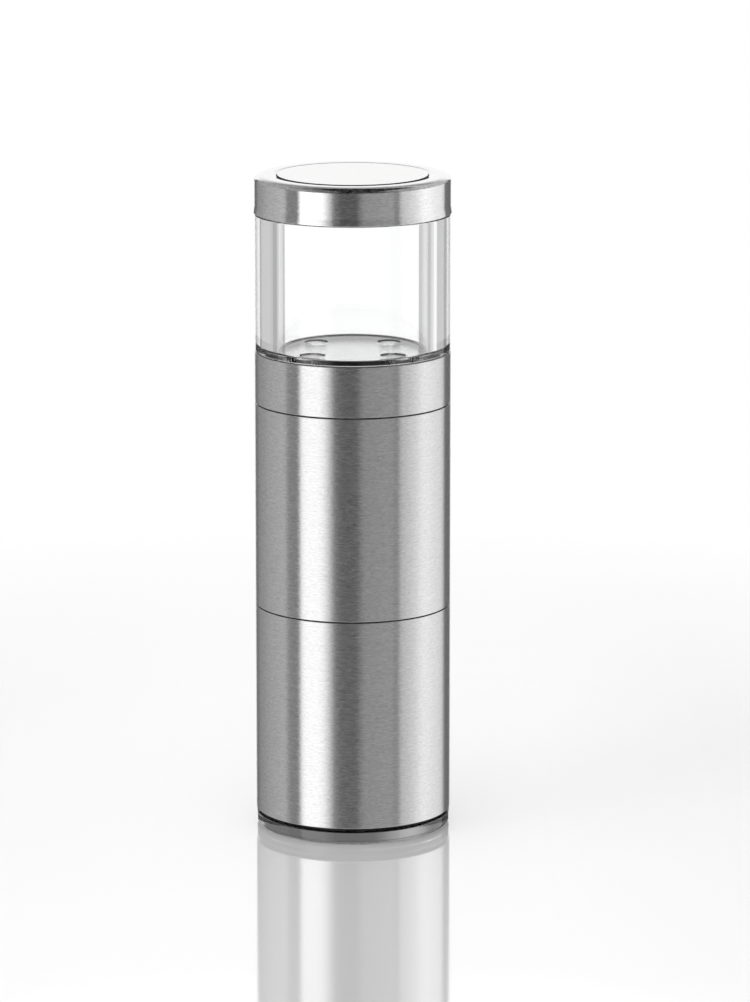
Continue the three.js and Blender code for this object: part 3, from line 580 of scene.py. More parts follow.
def soft_shoulder(side, top, reach, drop, steps=14):
    """Corners of a quarter ellipse from an upright side to a flat top."""
    turns = [math.pi / 2 * i / steps for i in range(steps + 1)]
    return [(side - reach + reach * math.cos(u), top - drop + drop * math.sin(u)) for u in turns]


cap_skin = turned("cap_skin", [
    (cap_rim - CAP_WALL, cap_bottom, 0.12),
    (cap_rim, cap_bottom, 0.18),
    (CAP_SIDE, cap_bottom + FLARE, 2.5),
    (CAP_SIDE, rim_top - SHOULDER_DROP - HOLD),
    *soft_shoulder(CAP_SIDE, rim_top, SHOULDER_REACH, SHOULDER_DROP),
    (CAP_SIDE - SHOULDER_REACH - HOLD, rim_top),
    (DIP_RADIUS, rim_top, 0.8),
    (CAP_HOLE, rim_top - DIP_DEPTH, 0.05),
    (CAP_HOLE, cap_top - CAP_WALL, 0.1),
    (INNER_FLAT, cap_top - CAP_WALL, 0.1),
    (CAP_SIDE - CAP_WALL, cap_top - INNER_DROP, 0.25),
    (CAP_SIDE - CAP_WALL, cap_bottom + FLARE, 1.5),
])
dress(cap_skin, "cap", cap_steel, "cap_shell")

# %% Make the cap's white moulding
DISC_RADIUS, DISC_DEPTH = 19.17, 0.8
CAP_PLUG, CAP_PLUG_BORE, SKIRT_SIDE, SKIRT_BORE = 18.7, 16.3, 24.2, 22.8
CROWN_DEPTH, SKIRT_DEPTH, CORNER_DEPTH, CORNER_RADIUS = 3.1, 5.0, 2.05, 22.3
# Painted shade at the disc's edge: how far in from the edge and how far down from the top the dark colour
# reaches, in mm
PAINTED_SHADE_MARGIN, PAINTED_SHADE_DEPTH = 0.03, 0.75
GROOVE_DEPTH, GROOVE_HALF = 1.4, 0.85
plug_foot, skirt_foot = low("cap_insert"), cap_bottom + 0.3


def seal_groove(side, node):
    """Corners of the groove, in a plug's side, that holds a round seal."""
    bottom, top = middle(node) - GROOVE_HALF, middle(node) + GROOVE_HALF
    return [(side, bottom, 0.1), (side - GROOVE_DEPTH, bottom), (side - GROOVE_DEPTH, top), (side, top, 0.1)]


cap_core = turned("cap_core", [
    (0, cap_top - CROWN_DEPTH),
    (CAP_PLUG_BORE, cap_top - CROWN_DEPTH, 0.6),
    (CAP_PLUG_BORE, plug_foot, 0.3),
    (CAP_PLUG, plug_foot, 0.4),
    *seal_groove(CAP_PLUG, "cap_seal"),
    (CAP_PLUG, cap_top - SKIRT_DEPTH, 0.2),
    (SKIRT_BORE, cap_top - SKIRT_DEPTH, 0.2),
    (SKIRT_BORE, skirt_foot, 0.3),
    (SKIRT_SIDE, skirt_foot, 0.3),
    (SKIRT_SIDE, cap_top - CORNER_DEPTH, 0.3),
    (CORNER_RADIUS, cap_top - DISC_DEPTH, 0.3),
    (DISC_RADIUS, cap_top - DISC_DEPTH, 0.1),
    (DISC_RADIUS, cap_top, 0.04),
    (0, cap_top),
])
dress(cap_core, "cap", white_plastic, "cap_insert")

# Painted shade: the disc's edge is coloured dark for the shade of the gap it lies in, and the rest of the
# finish is plain white
x, y, z = white_plastic.split(white_plastic.place)
out = (x * x + y * y) ** 0.5
edge = out.maths("GREATER_THAN", out, (DISC_RADIUS - PAINTED_SHADE_MARGIN) * MM)
edge = edge * z.maths("GREATER_THAN", z, (cap_top - PAINTED_SHADE_DEPTH) * MM)
white_plastic.feed("Base Color", white_plastic.between(edge, (0.97, 0.97, 0.965), (0.03, 0.03, 0.03)))

# %% Make the round seals
SECTION_FACETS = 20


def round_seal(name, body, node):
    radius = (high(node) - low(node)) / 2
    centre = wide(node) - radius
    turns = [2 * math.pi * k / SECTION_FACETS for k in range(SECTION_FACETS)]
    section = [(centre + radius * math.cos(u), middle(node) + radius * math.sin(u)) for u in turns]
    return dress(turned(name, section), body, silicone, node)


round_seal("cap_hoop", "cap", "cap_seal")
round_seal("foot_hoop", "base_lid", "lid_seal")
round_seal("spigot_hoop", "spring_housing", "spigot_seal")

# %% [markdown]
# ## Storage jar
# The jar is thick acrylic: a flat floor, a spigot that sits in the head and a neck that goes up
# inside the cap. The thick wall makes its sides look like separate strips of glass. Four screws hold
# it down, with their heads just below the floor in round pockets. The pockets, the screws and the
# bosses below them all repeat in the same two rows of two.

# %% Repeat a piece at the four screws
SCREW_PITCH, SCREW_HEAD, SCREW_SHANK, SHANK_HOLE, SCREW_POCKET = 13.9, 2.95, 1.3, 1.6, 3.25
SCREW_OFFSET = SCREW_PITCH * math.cos(math.pi / 4)


def at_four_screws(piece, finish):
    """Four copies of a piece made on the axis, one at each jar screw."""
    piece.data.transform(Matrix.Translation((-SCREW_OFFSET * MM, -SCREW_OFFSET * MM, 0)))
    apart = 2 * SCREW_OFFSET * MM
    through(piece, in_row, finish, Count=2, Step=(apart, 0, 0))
    return through(piece, in_row, finish, Count=2, Step=(0, apart, 0))


# %% Make the jar
jar_foot, jar_lip, jar_side = span("storage_jar")
jar_bottom = high("head_ring") + 0.2
JAR_BORE, JAR_NECK, JAR_SPIGOT, JAR_FILLET = 19.0, 22.5, 22.6, 0.5
jar_floor = jar_foot + 4.1
screw_seat = jar_foot + 1.8

jar = turned("clear_jar", [
    (0, jar_foot),
    (JAR_SPIGOT, jar_foot, 0.2),
    (JAR_SPIGOT, jar_bottom, 0.1),
    (jar_side, jar_bottom, 0.3),
    (jar_side, cap_bottom - 0.2, 0.3),
    (JAR_NECK, cap_bottom - 0.2, 0.2),
    (JAR_NECK, jar_lip, 0.35),
    (JAR_BORE, jar_lip, 0.35),
    (JAR_BORE, jar_floor, JAR_FILLET),
    (0, jar_floor),
])
pockets = rod("pockets", SCREW_POCKET, screw_seat, jar_floor + 1)
shank_holes = rod("shank_holes", SHANK_HOLE, jar_foot - 1, screw_seat + 0.2, SHANK_FACETS)
cut(jar, at_four_screws(pockets, jar_clear), at_four_screws(shank_holes, jar_clear))
dress(jar, "head", jar_clear, "storage_jar")

# %% Make the four jar screws
head_low, head_high, screw_low = screw_seat + 0.1, high("jar_screw_left"), low("jar_screw_left")
screws = rod("jar_screws", SCREW_HEAD, head_low, head_high, edge=0.2)
join(screws, rod("shank", SCREW_SHANK, screw_low, head_low + 0.5, SHANK_FACETS, edge=0.1))
cut(screws, bar("slot", (-4, -0.3, head_high - 0.6), (4, 0.3, head_high + 1)))
at_four_screws(screws, screw_steel)
dress(screws, "head", screw_steel, "jar_screw_left", "jar_screw_right", "jar_screw_back_left",
      "jar_screw_back_right")

# %% [markdown]
# ## Head core, deck plate, gasket and clip
# Below the jar the head is a black moulding with a hub that turns in the bearing. A bright deck
# plate lies on it and shines through the jar's floor. The gasket is the black ring at the jar's
# foot, and the open clip under the bearing keeps the head in place.

# %% Make the head core
core_low, core_top, core_side = span("head_core")
clip_low, clip_top = low("hub_clip"), high("hub_clip")
HUB, HUB_NECK, THRUST_FACE, DECK_SEAT, CORE_BORE, CORE_BOSS = 8.0, 7.0, 14.0, 19.5, 17.7, 8.5
SCREW_BOSS, WEB_END, SHAFT_HOLE, SHAFT_POCKET, CLIP_PLAY = 3.2, 19.0, 3.81, 5.8, 0.1
thrust = high("thrust_washer") + 0.1
ledge = low("deck_plate") - 0.1
core_bottom = low("head_ring") + 0.3
core_floor = core_bottom + 3.0
boss_low = core_floor - 1.5

core = turned("head_moulding", [
    (0, core_low),
    (HUB, core_low, 0.3),
    (HUB, clip_low - CLIP_PLAY),
    (HUB_NECK, clip_low - CLIP_PLAY),
    (HUB_NECK, clip_top + CLIP_PLAY),
    (HUB, clip_top + CLIP_PLAY),
    (HUB, thrust, 0.3),
    (THRUST_FACE, thrust, 0.3),
    (THRUST_FACE, core_bottom),
    (core_side, core_bottom, 0.2),
    (core_side, core_top, 0.2),
    (DECK_SEAT, core_top, 0.2),
    (DECK_SEAT, ledge),
    (CORE_BORE, ledge, 0.2),
    (CORE_BORE, core_floor, 0.5),
    (CORE_BOSS, core_floor, 0.5),
    (CORE_BOSS, ledge, 0.2),
    (0, ledge),
])
bosses = at_four_screws(rod("bosses", SCREW_BOSS, boss_low, ledge), black_plastic)
web = bar("webs", (SCREW_PITCH, -SCREW_BOSS, boss_low), (WEB_END, SCREW_BOSS, ledge))
webs = through(web, round_axis, black_plastic, Count=4, Start=math.pi / 4)
holes = at_four_screws(rod("holes", SHANK_HOLE, screw_low - 0.3, ledge + 1, SHANK_FACETS), black_plastic)
hexagon = rod("hexagon", SHAFT_HOLE, core_low - 1, core_floor + 1.3, facets=6)
join(core, bosses, webs)
cut(core, holes, hexagon, rod("pocket", SHAFT_POCKET, core_floor + 0.3, ledge + 1))
dress(core, "head", black_plastic, "head_core")

# %% Make the deck plate, the gasket and the clip
GASKET_WALL, CLIP_BORE, CLIP_SIDE, MOUTH_HALF = 1.4, 7.1, 11.0, 3.5
deck_low, deck_top, deck_side = span("deck_plate")
deck = rod("deck_sheet", deck_side, deck_low, deck_top, FACETS, edge=0.08)
deck_holes = rod("deck_holes", SHANK_HOLE, deck_low - 1, deck_top + 1, SHANK_FACETS)
cut(deck, at_four_screws(deck_holes, deck_steel))
dress(deck, "head", deck_steel, "deck_plate")

gasket = ring("foot_gasket", "jar_gasket", wide("jar_gasket") - GASKET_WALL, 0.15, 0.15)
dress(gasket, "head", black_rubber, "jar_gasket")

clip = ring("open_clip", "hub_clip", CLIP_BORE, 0.1, 0.1, outside=CLIP_SIDE)
cut(clip, bar("mouth", (0, -MOUTH_HALF, clip_low - 1), (CLIP_SIDE + 2, MOUTH_HALF, clip_top + 1)))
dress(clip, "head", spring_steel, "hub_clip")

# %% [markdown]
# ## Spring housing
# Inside the middle tube is a black liner. Its spigot goes down into the grating body, where three
# dogs keep the two from turning against each other, and near its top a plate carries the hub.

# %% Make the liner with its dogs
# The spigot and the aroma lid's plug fit bores of the same radius
PLUG_SIDE, PLUG_BORE = 21.1, 18.7
BEARING_SEAT, BODY_BORE, SPIGOT_FLOOR = 22.4, 21.4, 2.6
DOG_IN, DOG_OUT, DOG_HALF, DOG_LENGTH, DOG_ROOT = 19.9, 21.0, 2.5, 4.0, 1.2
liner_low, liner_top, liner_side = span("mid_liner")
spigot_low = liner_low + DOG_LENGTH
step = low("mid_sleeve") + 0.3
bearing_low = low("bearing_plate")

liner = turned("middle_liner", [
    (liner_side, step, 0.15),
    (liner_side, liner_top, 0.15),
    (BEARING_SEAT, liner_top, 0.2),
    (BEARING_SEAT, bearing_low - 0.3),
    (BODY_BORE, bearing_low - 0.3, 0.2),
    (BODY_BORE, step + SPIGOT_FLOOR, 0.6),
    (PLUG_BORE, step + SPIGOT_FLOOR, 0.3),
    (PLUG_BORE, spigot_low, 0.3),
    (PLUG_SIDE, spigot_low, 0.3),
    *seal_groove(PLUG_SIDE, "spigot_seal"),
    (PLUG_SIDE, step),
])
dog = bar("dog", (DOG_IN, -DOG_HALF, liner_low), (DOG_OUT, DOG_HALF, spigot_low + DOG_ROOT), edge=0.35)
join(liner, through(dog, round_axis, black_plastic, Count=3, Start=0.0))
dress(liner, "spring_housing", black_plastic, "mid_liner")

# %% Make the bearing plate and the washer
HUB_BORE = 8.3
bearing = ring("bearing_wall", "bearing_plate", HUB_BORE, 0.3, 0.2)
dress(bearing, "spring_housing", black_plastic, "bearing_plate")

washer = ring("slip_washer", "thrust_washer", HUB_BORE, 0.1, 0.1)
dress(washer, "spring_housing", acetal, "thrust_washer")

# %% [markdown]
# ## Grating body
# The outlet is a deep black recess, and its rim shows as a thin black line under the steel. At its
# end a conical ring, slit into snap tabs, holds the blade disc against the nut chamber.

# %% Make the outlet liner
outlet_low, outlet_top, outlet_side = span("lower_liner")
disc_low, disc_top = low("blade_disc"), low("blade_disc") + 1.0
retainer_low, retainer_top = low("blade_retainer"), high("blade_retainer")
DISC_POCKET, RETAINER_POCKET = 19.6, 20.2
TAB_IN, TAB_OUT, TAB_HALF, TAB_PLAY = 17.5, 20.5, 2.0, 0.3

outlet = turned("outlet_liner", [
    (BODY_BORE, outlet_low, 0.5),
    (outlet_side, outlet_low, 0.05),
    (outlet_side, outlet_top, 0.15),
    (BODY_BORE, outlet_top, 0.4),
    (BODY_BORE, disc_top),
    (DISC_POCKET, disc_top),
    (DISC_POCKET, disc_low - 0.1),
    (RETAINER_POCKET, disc_low - 0.1),
    (RETAINER_POCKET, retainer_low, 0.15),
    (BODY_BORE, retainer_low, 0.15),
])
tab_room = bar("tab_room", (-TAB_HALF - TAB_PLAY, TAB_IN, retainer_low - 1),
               (TAB_HALF + TAB_PLAY, TAB_OUT + TAB_PLAY, disc_top + 1))
cut(outlet, through(tab_room, round_axis, black_plastic, Count=2, Start=0.0))
dress(outlet, "grinder", black_plastic, "lower_liner")

# %% Make the conical retainer with its slits
CONE_TOP, CONE_MOUTH, CONE_SIDE, CONE_LIP = 17.0, 19.3, 19.9, 0.6
SLITS, SLIT_WIDTH, SLIT_IN, SLIT_OUT, TAB_ANGLE = 10, 0.14, 18.0, 21.0, math.radians(10)

retainer = turned("cone_ring", [
    (CONE_TOP, retainer_top, 0.1),
    (CONE_TOP, retainer_top - CONE_LIP, 0.15),
    (CONE_MOUTH, retainer_low, 0.1),
    (CONE_SIDE, retainer_low, 0.1),
    (CONE_SIDE, retainer_top, 0.1),
])
for start in (0.0, TAB_ANGLE):
    slit = bar("slit", (SLIT_IN, -SLIT_WIDTH / 2, retainer_low - 1),
               (SLIT_OUT, SLIT_WIDTH / 2, retainer_top - 0.8))
    cut(retainer, through(slit, round_axis, black_plastic, Count=SLITS, Start=start))
dress(retainer, "grinder", black_plastic, "blade_retainer")

# %% Make the nut chamber with its ribs
CHAMBER_BORE, CHAMBER_SIDE, CHAMBER_SHELF = 17.5, 19.5, 2.6
RIB_IN, RIB_OUT, RIB_HALF, RIB_ASIDE = 18.6, 20.7, 0.8, 3.6
chamber_low, chamber_top = low("nut_chamber"), high("nut_chamber")
chamber = turned("nut_cup", [
    (CHAMBER_BORE, chamber_low, 0.2),
    (PLUG_SIDE, chamber_low, 0.2),
    (PLUG_SIDE, chamber_low + CHAMBER_SHELF, 0.2),
    (CHAMBER_SIDE, chamber_low + CHAMBER_SHELF, 0.3),
    (CHAMBER_SIDE, chamber_top, 0.3),
    (CHAMBER_BORE, chamber_top, 0.4),
])
for y in (-RIB_ASIDE, RIB_ASIDE):
    rib = bar("rib", (RIB_IN, y - RIB_HALF, chamber_low + 1.5), (RIB_OUT, y + RIB_HALF, chamber_top - 0.3),
              edge=0.3)
    join(chamber, through(rib, round_axis, black_plastic, Count=3, Start=0.0))
dress(chamber, "grinder", black_plastic, "nut_chamber")

# %% [markdown]
# ## Blade disc
# The disc has one slot right across it. Over half its length one edge is raised towards the nut as
# a low ramp, and a row of scallops cut through the ramp leaves the points that grate.

# %% Make the blade disc
SCALLOPS, SCALLOP_STEP, SCALLOP_START, SCALLOP_RADIUS = 8, 2.0, 1.3, 0.85
SLOT_HALF_LENGTH, SLOT_HALF_WIDTH, LIP_RISE, LIP_WIDTH, LIP_ROOT = 17.4, 1.5, 0.6, 3.4, 0.5
BLADE_RADIUS = 19.3


def lip(length):
    """The ramp along the slot's edge, highest at the teeth."""
    edge = -SLOT_HALF_WIDTH
    section = [(edge, disc_top - LIP_ROOT), (edge, disc_top + LIP_RISE), (edge - LIP_WIDTH, disc_top),
               (edge - LIP_WIDTH, disc_top - LIP_ROOT)]
    return prism("lip", [(0, y, z) for y, z in section], [(length, y, z) for y, z in section])


blade = rod("toothed_disc", BLADE_RADIUS, disc_low, disc_top, FACETS, edge=0.05)
tab = bar("tab", (-TAB_HALF, TAB_IN, disc_low), (TAB_HALF, TAB_OUT, disc_top), edge=0.1)
join(blade, through(tab, round_axis, blade_steel, Count=2, Start=0.0))
cut(blade, bar("slot", (-SLOT_HALF_LENGTH, -SLOT_HALF_WIDTH, disc_low - 1),
               (SLOT_HALF_LENGTH, SLOT_HALF_WIDTH, disc_top + 1)))
join(blade, lip(SCALLOP_START + (SCALLOPS - 0.5) * SCALLOP_STEP))
scallop = rod("scallop", SCALLOP_RADIUS, -4, 4, facets=32)
scallop.data.transform(Matrix.Translation((SCALLOP_START * MM, -SLOT_HALF_WIDTH * MM, disc_top * MM)))
cut(blade, through(scallop, in_row, blade_steel, Count=SCALLOPS, Step=(SCALLOP_STEP * MM, 0, 0)))
dress(blade, "grinder", blade_steel, "blade_disc")

# %% [markdown]
# ## Feed: claw and spring
# The claw slides on a hexagonal shaft and the spring pushes it down on the nut. The spring is a wire
# swept along a helix whose end turns lie closer, worked out in a Geometry Nodes tree from its
# radius, wire, turns and heights.

# %% Make the claw plate, its screw and the sleeve
plate_low, plate_top = low("claw_sleeve") - 1.3, low("claw_sleeve") - 0.1
PLATE_RADIUS, PRONG_HALF, PRONG_IN, PRONG_OUT, PRONG_ROOT, PRONG_SIDE = 11.5, 1.6, 10.0, 11.2, 0.4, 0.3


def prong():
    """One pointed tooth bent down at the plate's rim on the +Y side."""
    root, side, tip = plate_low + PRONG_ROOT, plate_low - PRONG_SIDE, low("claw_plate")
    outline = [(-PRONG_HALF, root), (-PRONG_HALF, side), (0, tip), (PRONG_HALF, side), (PRONG_HALF, root)]
    return prism("prong", *[[(x, y, z) for x, z in outline] for y in (PRONG_IN, PRONG_OUT)])


plate = rod("claw_disc", PLATE_RADIUS, plate_low, plate_top, facets=96, edge=0.25)
join(plate, through(prong(), round_axis, blade_steel, Count=6, Start=0.0))
cut(plate, rod("hole", SHANK_HOLE, plate_low - 1, plate_top + 1, SHANK_FACETS))
dress(plate, "claw", blade_steel, "claw_plate")

GUIDE_FLANGE, GUIDE_SIDE, STOP_BORE, TOP_BORE, FLANGE_THICK, HEX_LENGTH = 9.5, 6.5, 5.0, 3.2, 2.0, 7.0
guide_low, guide_top = low("claw_sleeve"), high("claw_sleeve")
guide = turned("claw_guide", [
    (STOP_BORE, guide_low, 0.2),
    (GUIDE_FLANGE, guide_low, 0.3),
    (GUIDE_FLANGE, guide_low + FLANGE_THICK, 0.3),
    (GUIDE_SIDE, guide_low + FLANGE_THICK, 0.3),
    (GUIDE_SIDE, guide_top, 0.4),
    (TOP_BORE, guide_top),
    (TOP_BORE, guide_top - HEX_LENGTH),
    (STOP_BORE, guide_top - HEX_LENGTH),
], facets=96)
cut(guide, rod("hexagon", SHAFT_HOLE, guide_top - HEX_LENGTH - 1, guide_top + 1, facets=6))
dress(guide, "claw", black_plastic, "claw_sleeve")

bolt_low = low("claw_screw")
claw_bolt = rod("claw_bolt", 3.0, bolt_low, bolt_low + 1.5, edge=0.25)
join(claw_bolt, rod("shank", SCREW_SHANK, bolt_low + 0.5, high("claw_screw"), SHANK_FACETS, edge=0.1))
cut(claw_bolt, bar("slot", (-4, -0.4, bolt_low - 1), (4, 0.4, bolt_low + 0.6)))
dress(claw_bolt, "claw", spring_steel, "claw_screw")

# %% Build the spring's tree
SPRING_TURNS, STEPS_PER_TURN, WIRE_FACETS = 12, 40, 14


def spring_tree():
    names = ["Radius", "Wire", "Turns", "End pitch", "Bottom", "Top"]
    tree, given = geometry_tree("wound_spring", {name: "NodeSocketFloat" for name in names})
    low_end = given["Bottom"] + given["Wire"] * 0.5
    high_end = given["Top"] - given["Wire"] * 0.5
    open_turns = given["Turns"] - 2.0
    open_pitch = (high_end - low_end - given["End pitch"] * 2.0) * (open_turns ** -1.0)
    samples = tree.node("GeometryNodeCurvePrimitiveLine", None, {"End": (0, 0, 1)})
    samples = tree.node("GeometryNodeResampleCurve", None,
                        {"Curve": samples, "Count": SPRING_TURNS * STEPS_PER_TURN + 1})
    turns = tree.node("GeometryNodeSplineParameter") * given["Turns"]
    open_part = (turns - 1.0).clamped(0.0, open_turns)
    height = low_end + (turns - open_part) * given["End pitch"] + open_part * open_pitch
    angle = turns * (2 * math.pi)
    across = angle.maths("COSINE", angle) * given["Radius"]
    along = angle.maths("SINE", angle) * given["Radius"]
    helix = tree.node("GeometryNodeSetPosition", None,
                      {"Geometry": samples, "Position": tree.joined(across, along, height)})
    section = tree.node("GeometryNodeCurvePrimitiveCircle", None,
                        {"Resolution": WIRE_FACETS, "Radius": given["Wire"] * 0.5})
    wire = tree.node("GeometryNodeCurveToMesh", None,
                     {"Curve": helix, "Profile Curve": section, "Fill Caps": True})
    return close_tree(tree, wire, given["Finish"])


# %% Wind the spring
spring_low, spring_top = low("feed_spring"), high("feed_spring")
spring = placed("feed_coil", bpy.data.meshes.new("feed_coil"))
through(spring, spring_tree(), spring_steel, **{
    "Radius": 8.0 * MM, "Wire": 1.0 * MM, "Turns": float(SPRING_TURNS), "End pitch": 1.5 * MM,
    "Bottom": spring_low * MM, "Top": spring_top * MM,
})
dress(spring, "head", spring_steel, "feed_spring")
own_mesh(spring)

# %% Finish the inner nodes whose CAD shape is right
for node, finish in {"drive_shaft": spring_steel, "shaft_stop": spring_steel,
                     "spring_seat": spring_steel, "claw_plug": acetal}.items():
    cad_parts[node].data.materials.clear()
    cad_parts[node].data.materials.append(finish.material)
    print(f"{node}: {finish.material.name}")

# %% [markdown]
# ## Aroma lid
# The foot is a shallow clear cup. Its flange carries the grater, and its plug goes up into the
# outlet and keeps the aroma in.

# %% Make the aroma lid
FOOT_FLOOR, FOOT_GAP = 2.0, 0.9
foot_top, foot_side = high("aroma_lid"), wide("aroma_lid")
flange_top = low("lower_sleeve") - FOOT_GAP

foot = turned("clear_foot", [
    (0, 0),
    (foot_side, 0, 1.1),
    (foot_side, flange_top, 0.25),
    (PLUG_SIDE, flange_top, 0.1),
    *seal_groove(PLUG_SIDE, "lid_seal"),
    (PLUG_SIDE, foot_top, 0.4),
    (PLUG_BORE, foot_top, 0.3),
    (PLUG_BORE, FOOT_FLOOR, 0.8),
    (0, FOOT_FLOOR),
])
dress(foot, "base_lid", foot_clear, "aroma_lid")
for piece in (jar, foot):
    piece.visible_shadow = False

# %% [markdown]
# ## Studio
# Brushed steel shows its surroundings, so the studio is what gives it its bands. A curved wall of
# light and dark panels stands round the table, under a dark ceiling. Only reflections see it: the
# camera sees a white room, and matt surfaces get plain light from the lamps and the world. Behind
# the object the wall is open below and white above, which is what the cap's flat rim shows. The
# clear pieces have cards of their own, close behind them, and only light that has come through
# them sees those: white behind the middle, grey at the sides where the thick walls bend the view.

# %% Put up the wall of panels
WALL_RADIUS, WALL_LOW, WALL_HIGH = 0.45, -0.40, 0.70
SIDE_TOP, BACK_EDGE, WALL_END, BACK_END = 0.24, 158, 162, 198
CARD_RADIUS, CARD_SPLIT, CARD_HIGH, CARD_START, CARD_END = 0.028, 0.016, 0.60, 76, 284
# Bearing from the camera's side in degrees, positive to the right, and the light given there
PANELS = [(-162, 0.14), (-150, 0.17), (-143, 0.32), (-130, 0.37), (-114, 0.48), (-90, 0.57), (-85, 0.56),
          (-80, 0.27), (-66, 0.24), (-61, 1.65), (-40, 1.65), (-34, 1.42), (-27, 0.80), (-21, 0.22),
          (-12, 0.11), (4, 0.11), (8, 0.22), (13, 0.34), (47, 0.40), (49, 0.28), (54, 0.28), (57, 0.68),
          (66, 0.80), (78, 1.00), (88, 1.28), (98, 1.28), (109, 1.15), (122, 1.06), (131, 0.88),
          (134, 0.20), (162, 0.14)]
# The same above the height of the object
UPPER = [(-198, 0.35), (-160, 0.40), (-136, 0.42), (-110, 0.45), (-90, 0.35), (-66, 0.40), (-40, 0.15),
         (-15, 0.01), (20, 0.01), (40, 0.08), (66, 0.35), (90, 0.45), (110, 0.60), (160, 0.55), (198, 0.35)]
# Metres from the middle of the ceiling, positive to the right, and the light given there
CEILING = [(-0.45, 0.40), (-0.32, 0.22), (-0.19, 0.22), (-0.12, 0.04), (-0.08, 0.0), (0.20, 0.01),
           (0.27, 0.18), (0.34, 0.36), (0.45, 0.50)]
# Height behind the object, and the light given there
BACK_GLOW = [(0.18, 1.10), (0.28, 1.10), (0.36, 0.70), (0.46, 0.30)]
# Bearing from straight behind, positive to the right, and the light that comes through from there
BEHIND_JAR = [(-104, 0.90), (-99, 0.42), (-94, 0.42), (-92, 0.58), (-68, 0.58), (-66, 0.38), (-63, 0.38),
              (-61, 1.06), (57, 1.06), (59, 0.40), (66, 0.40), (68, 0.50), (84, 0.50), (86, 1.00),
              (90, 1.00), (92, 0.72), (95, 0.72), (97, 0.50), (100, 0.50), (104, 0.90)]
BEHIND_FOOT = [(-104, 0.25), (-10, 0.15), (2.5, 0.15), (3.5, 0.20), (5.0, 0.36), (6.2, 0.58), (104, 0.58)]


def light_from(table, bearing):
    for (first, a), (second, b) in zip(table, table[1:]):
        if first <= bearing <= second:
            return a + (b - a) * (bearing - first) / (second - first)
    return table[-1][1]


def panel_light_at(bearing, height):
    """Panels up to just above the object, weaker light higher up and a white glow at the back."""
    if abs(bearing) >= BACK_EDGE and BACK_GLOW[0][0] <= height <= BACK_GLOW[-1][0]:
        return light_from(BACK_GLOW, height)
    return light_from(PANELS, bearing) if height <= SIDE_TOP else light_from(UPPER, bearing)


def bare_material(name):
    """A new material without nodes, and its tree."""
    material = bpy.data.materials.new(name)
    material.use_nodes = True
    material.node_tree.nodes.clear()
    return material, Tree(material.node_tree)


def glowing(name):
    """A material that gives off the light stored in its mesh's glow attribute."""
    material, tree = bare_material(name)
    stored = tree.node("ShaderNodeAttribute", {"attribute_name": "glow"}, output="Fac")
    light = tree.node("ShaderNodeEmission", None, {"Strength": stored})
    tree.end("ShaderNodeOutputMaterial", light)
    return material


def panel(name, kind, columns, values):
    """A sheet between columns of points, with the light of each, that one kind of ray sees."""
    bm = bmesh.new()
    columns = [[bm.verts.new(point) for point in column] for column in columns]
    for a, b in zip(columns, columns[1:]):
        for i in range(len(a) - 1):
            bm.faces.new((a[i], a[i + 1], b[i + 1], b[i]))
    sheet = piece_from(name, bm)
    sheet.data.attributes.new("glow", "FLOAT", "POINT").data.foreach_set("value", values)
    sheet.data.materials.append(panel_light)
    for ray in ("camera", "diffuse", "glossy", "transmission", "volume_scatter", "shadow"):
        setattr(sheet, f"visible_{ray}", ray == kind)


def wall(name, kind, radius, bearings, levels, light):
    """A strip of cylinder, with the light of each point worked out from its bearing and height."""
    sides = [(radius * math.sin(math.radians(b)), -radius * math.cos(math.radians(b))) for b in bearings]
    columns = [[(x, y, level) for level in levels] for x, y in sides]
    panel(name, kind, columns, [light(bearing, level) for bearing in bearings for level in levels])


panel_light = glowing("panel_light")
glow_levels = [level for level, _ in BACK_GLOW]
levels = sorted([WALL_LOW, glow_levels[0] - 0.01, SIDE_TOP, WALL_HIGH, *glow_levels])
back_levels = [level for level in levels if level >= glow_levels[0]]
wall("studio_wall", "glossy", WALL_RADIUS, range(-WALL_END, WALL_END + 1), levels, panel_light_at)
wall("back_wall", "glossy", WALL_RADIUS, range(WALL_END, BACK_END + 1), back_levels, panel_light_at)
panel("ceiling", "glossy", [[(x, -WALL_RADIUS, WALL_HIGH), (x, WALL_RADIUS, WALL_HIGH)] for x, _ in CEILING],
      [light for _, light in CEILING for _ in range(2)])
wall("jar_card", "transmission", CARD_RADIUS, range(CARD_START, CARD_END + 1), [CARD_SPLIT, CARD_HIGH],
     lambda bearing, height: light_from(BEHIND_JAR, 180 - bearing))
half_degrees = [half / 2 for half in range(2 * CARD_START, 2 * CARD_END + 1)]
wall("foot_card", "transmission", CARD_RADIUS, half_degrees, [0.0, CARD_SPLIT],
     lambda bearing, height: light_from(BEHIND_FOOT, 180 - bearing))

# %% Lay the floor
FLOOR_SIZE, FLOOR_SINK, FLOOR_GLOSS, FLOOR_LIFT, PAINTED_SHADOW_RADIUS = 8.0, 0.05, 0.50, 0.26, 0.0238
# Metres from the object where the gloss and the paleness start to fade, and over how far
FADE_START, GLOSS_FADE, PALE_FADE, SIDE_START, SIDE_FADE = 0.16, 0.25, 0.20, 0.05, 0.05


def risen(distance, start, over):
    """0 up to the start, then a straight rise to 1."""
    return (distance - start).clamped(0.0, over) * (1.0 / over)


def direct_view(tree):
    """1 where the camera looks, straight or in a reflection or through glass, and else 0."""
    rays = ("Is Camera Ray", "Is Glossy Ray", "Is Transmission Ray")
    straight, reflected, through_glass = [tree.node("ShaderNodeLightPath", output=ray) for ray in rays]
    return straight.largest(reflected).largest(through_glass)


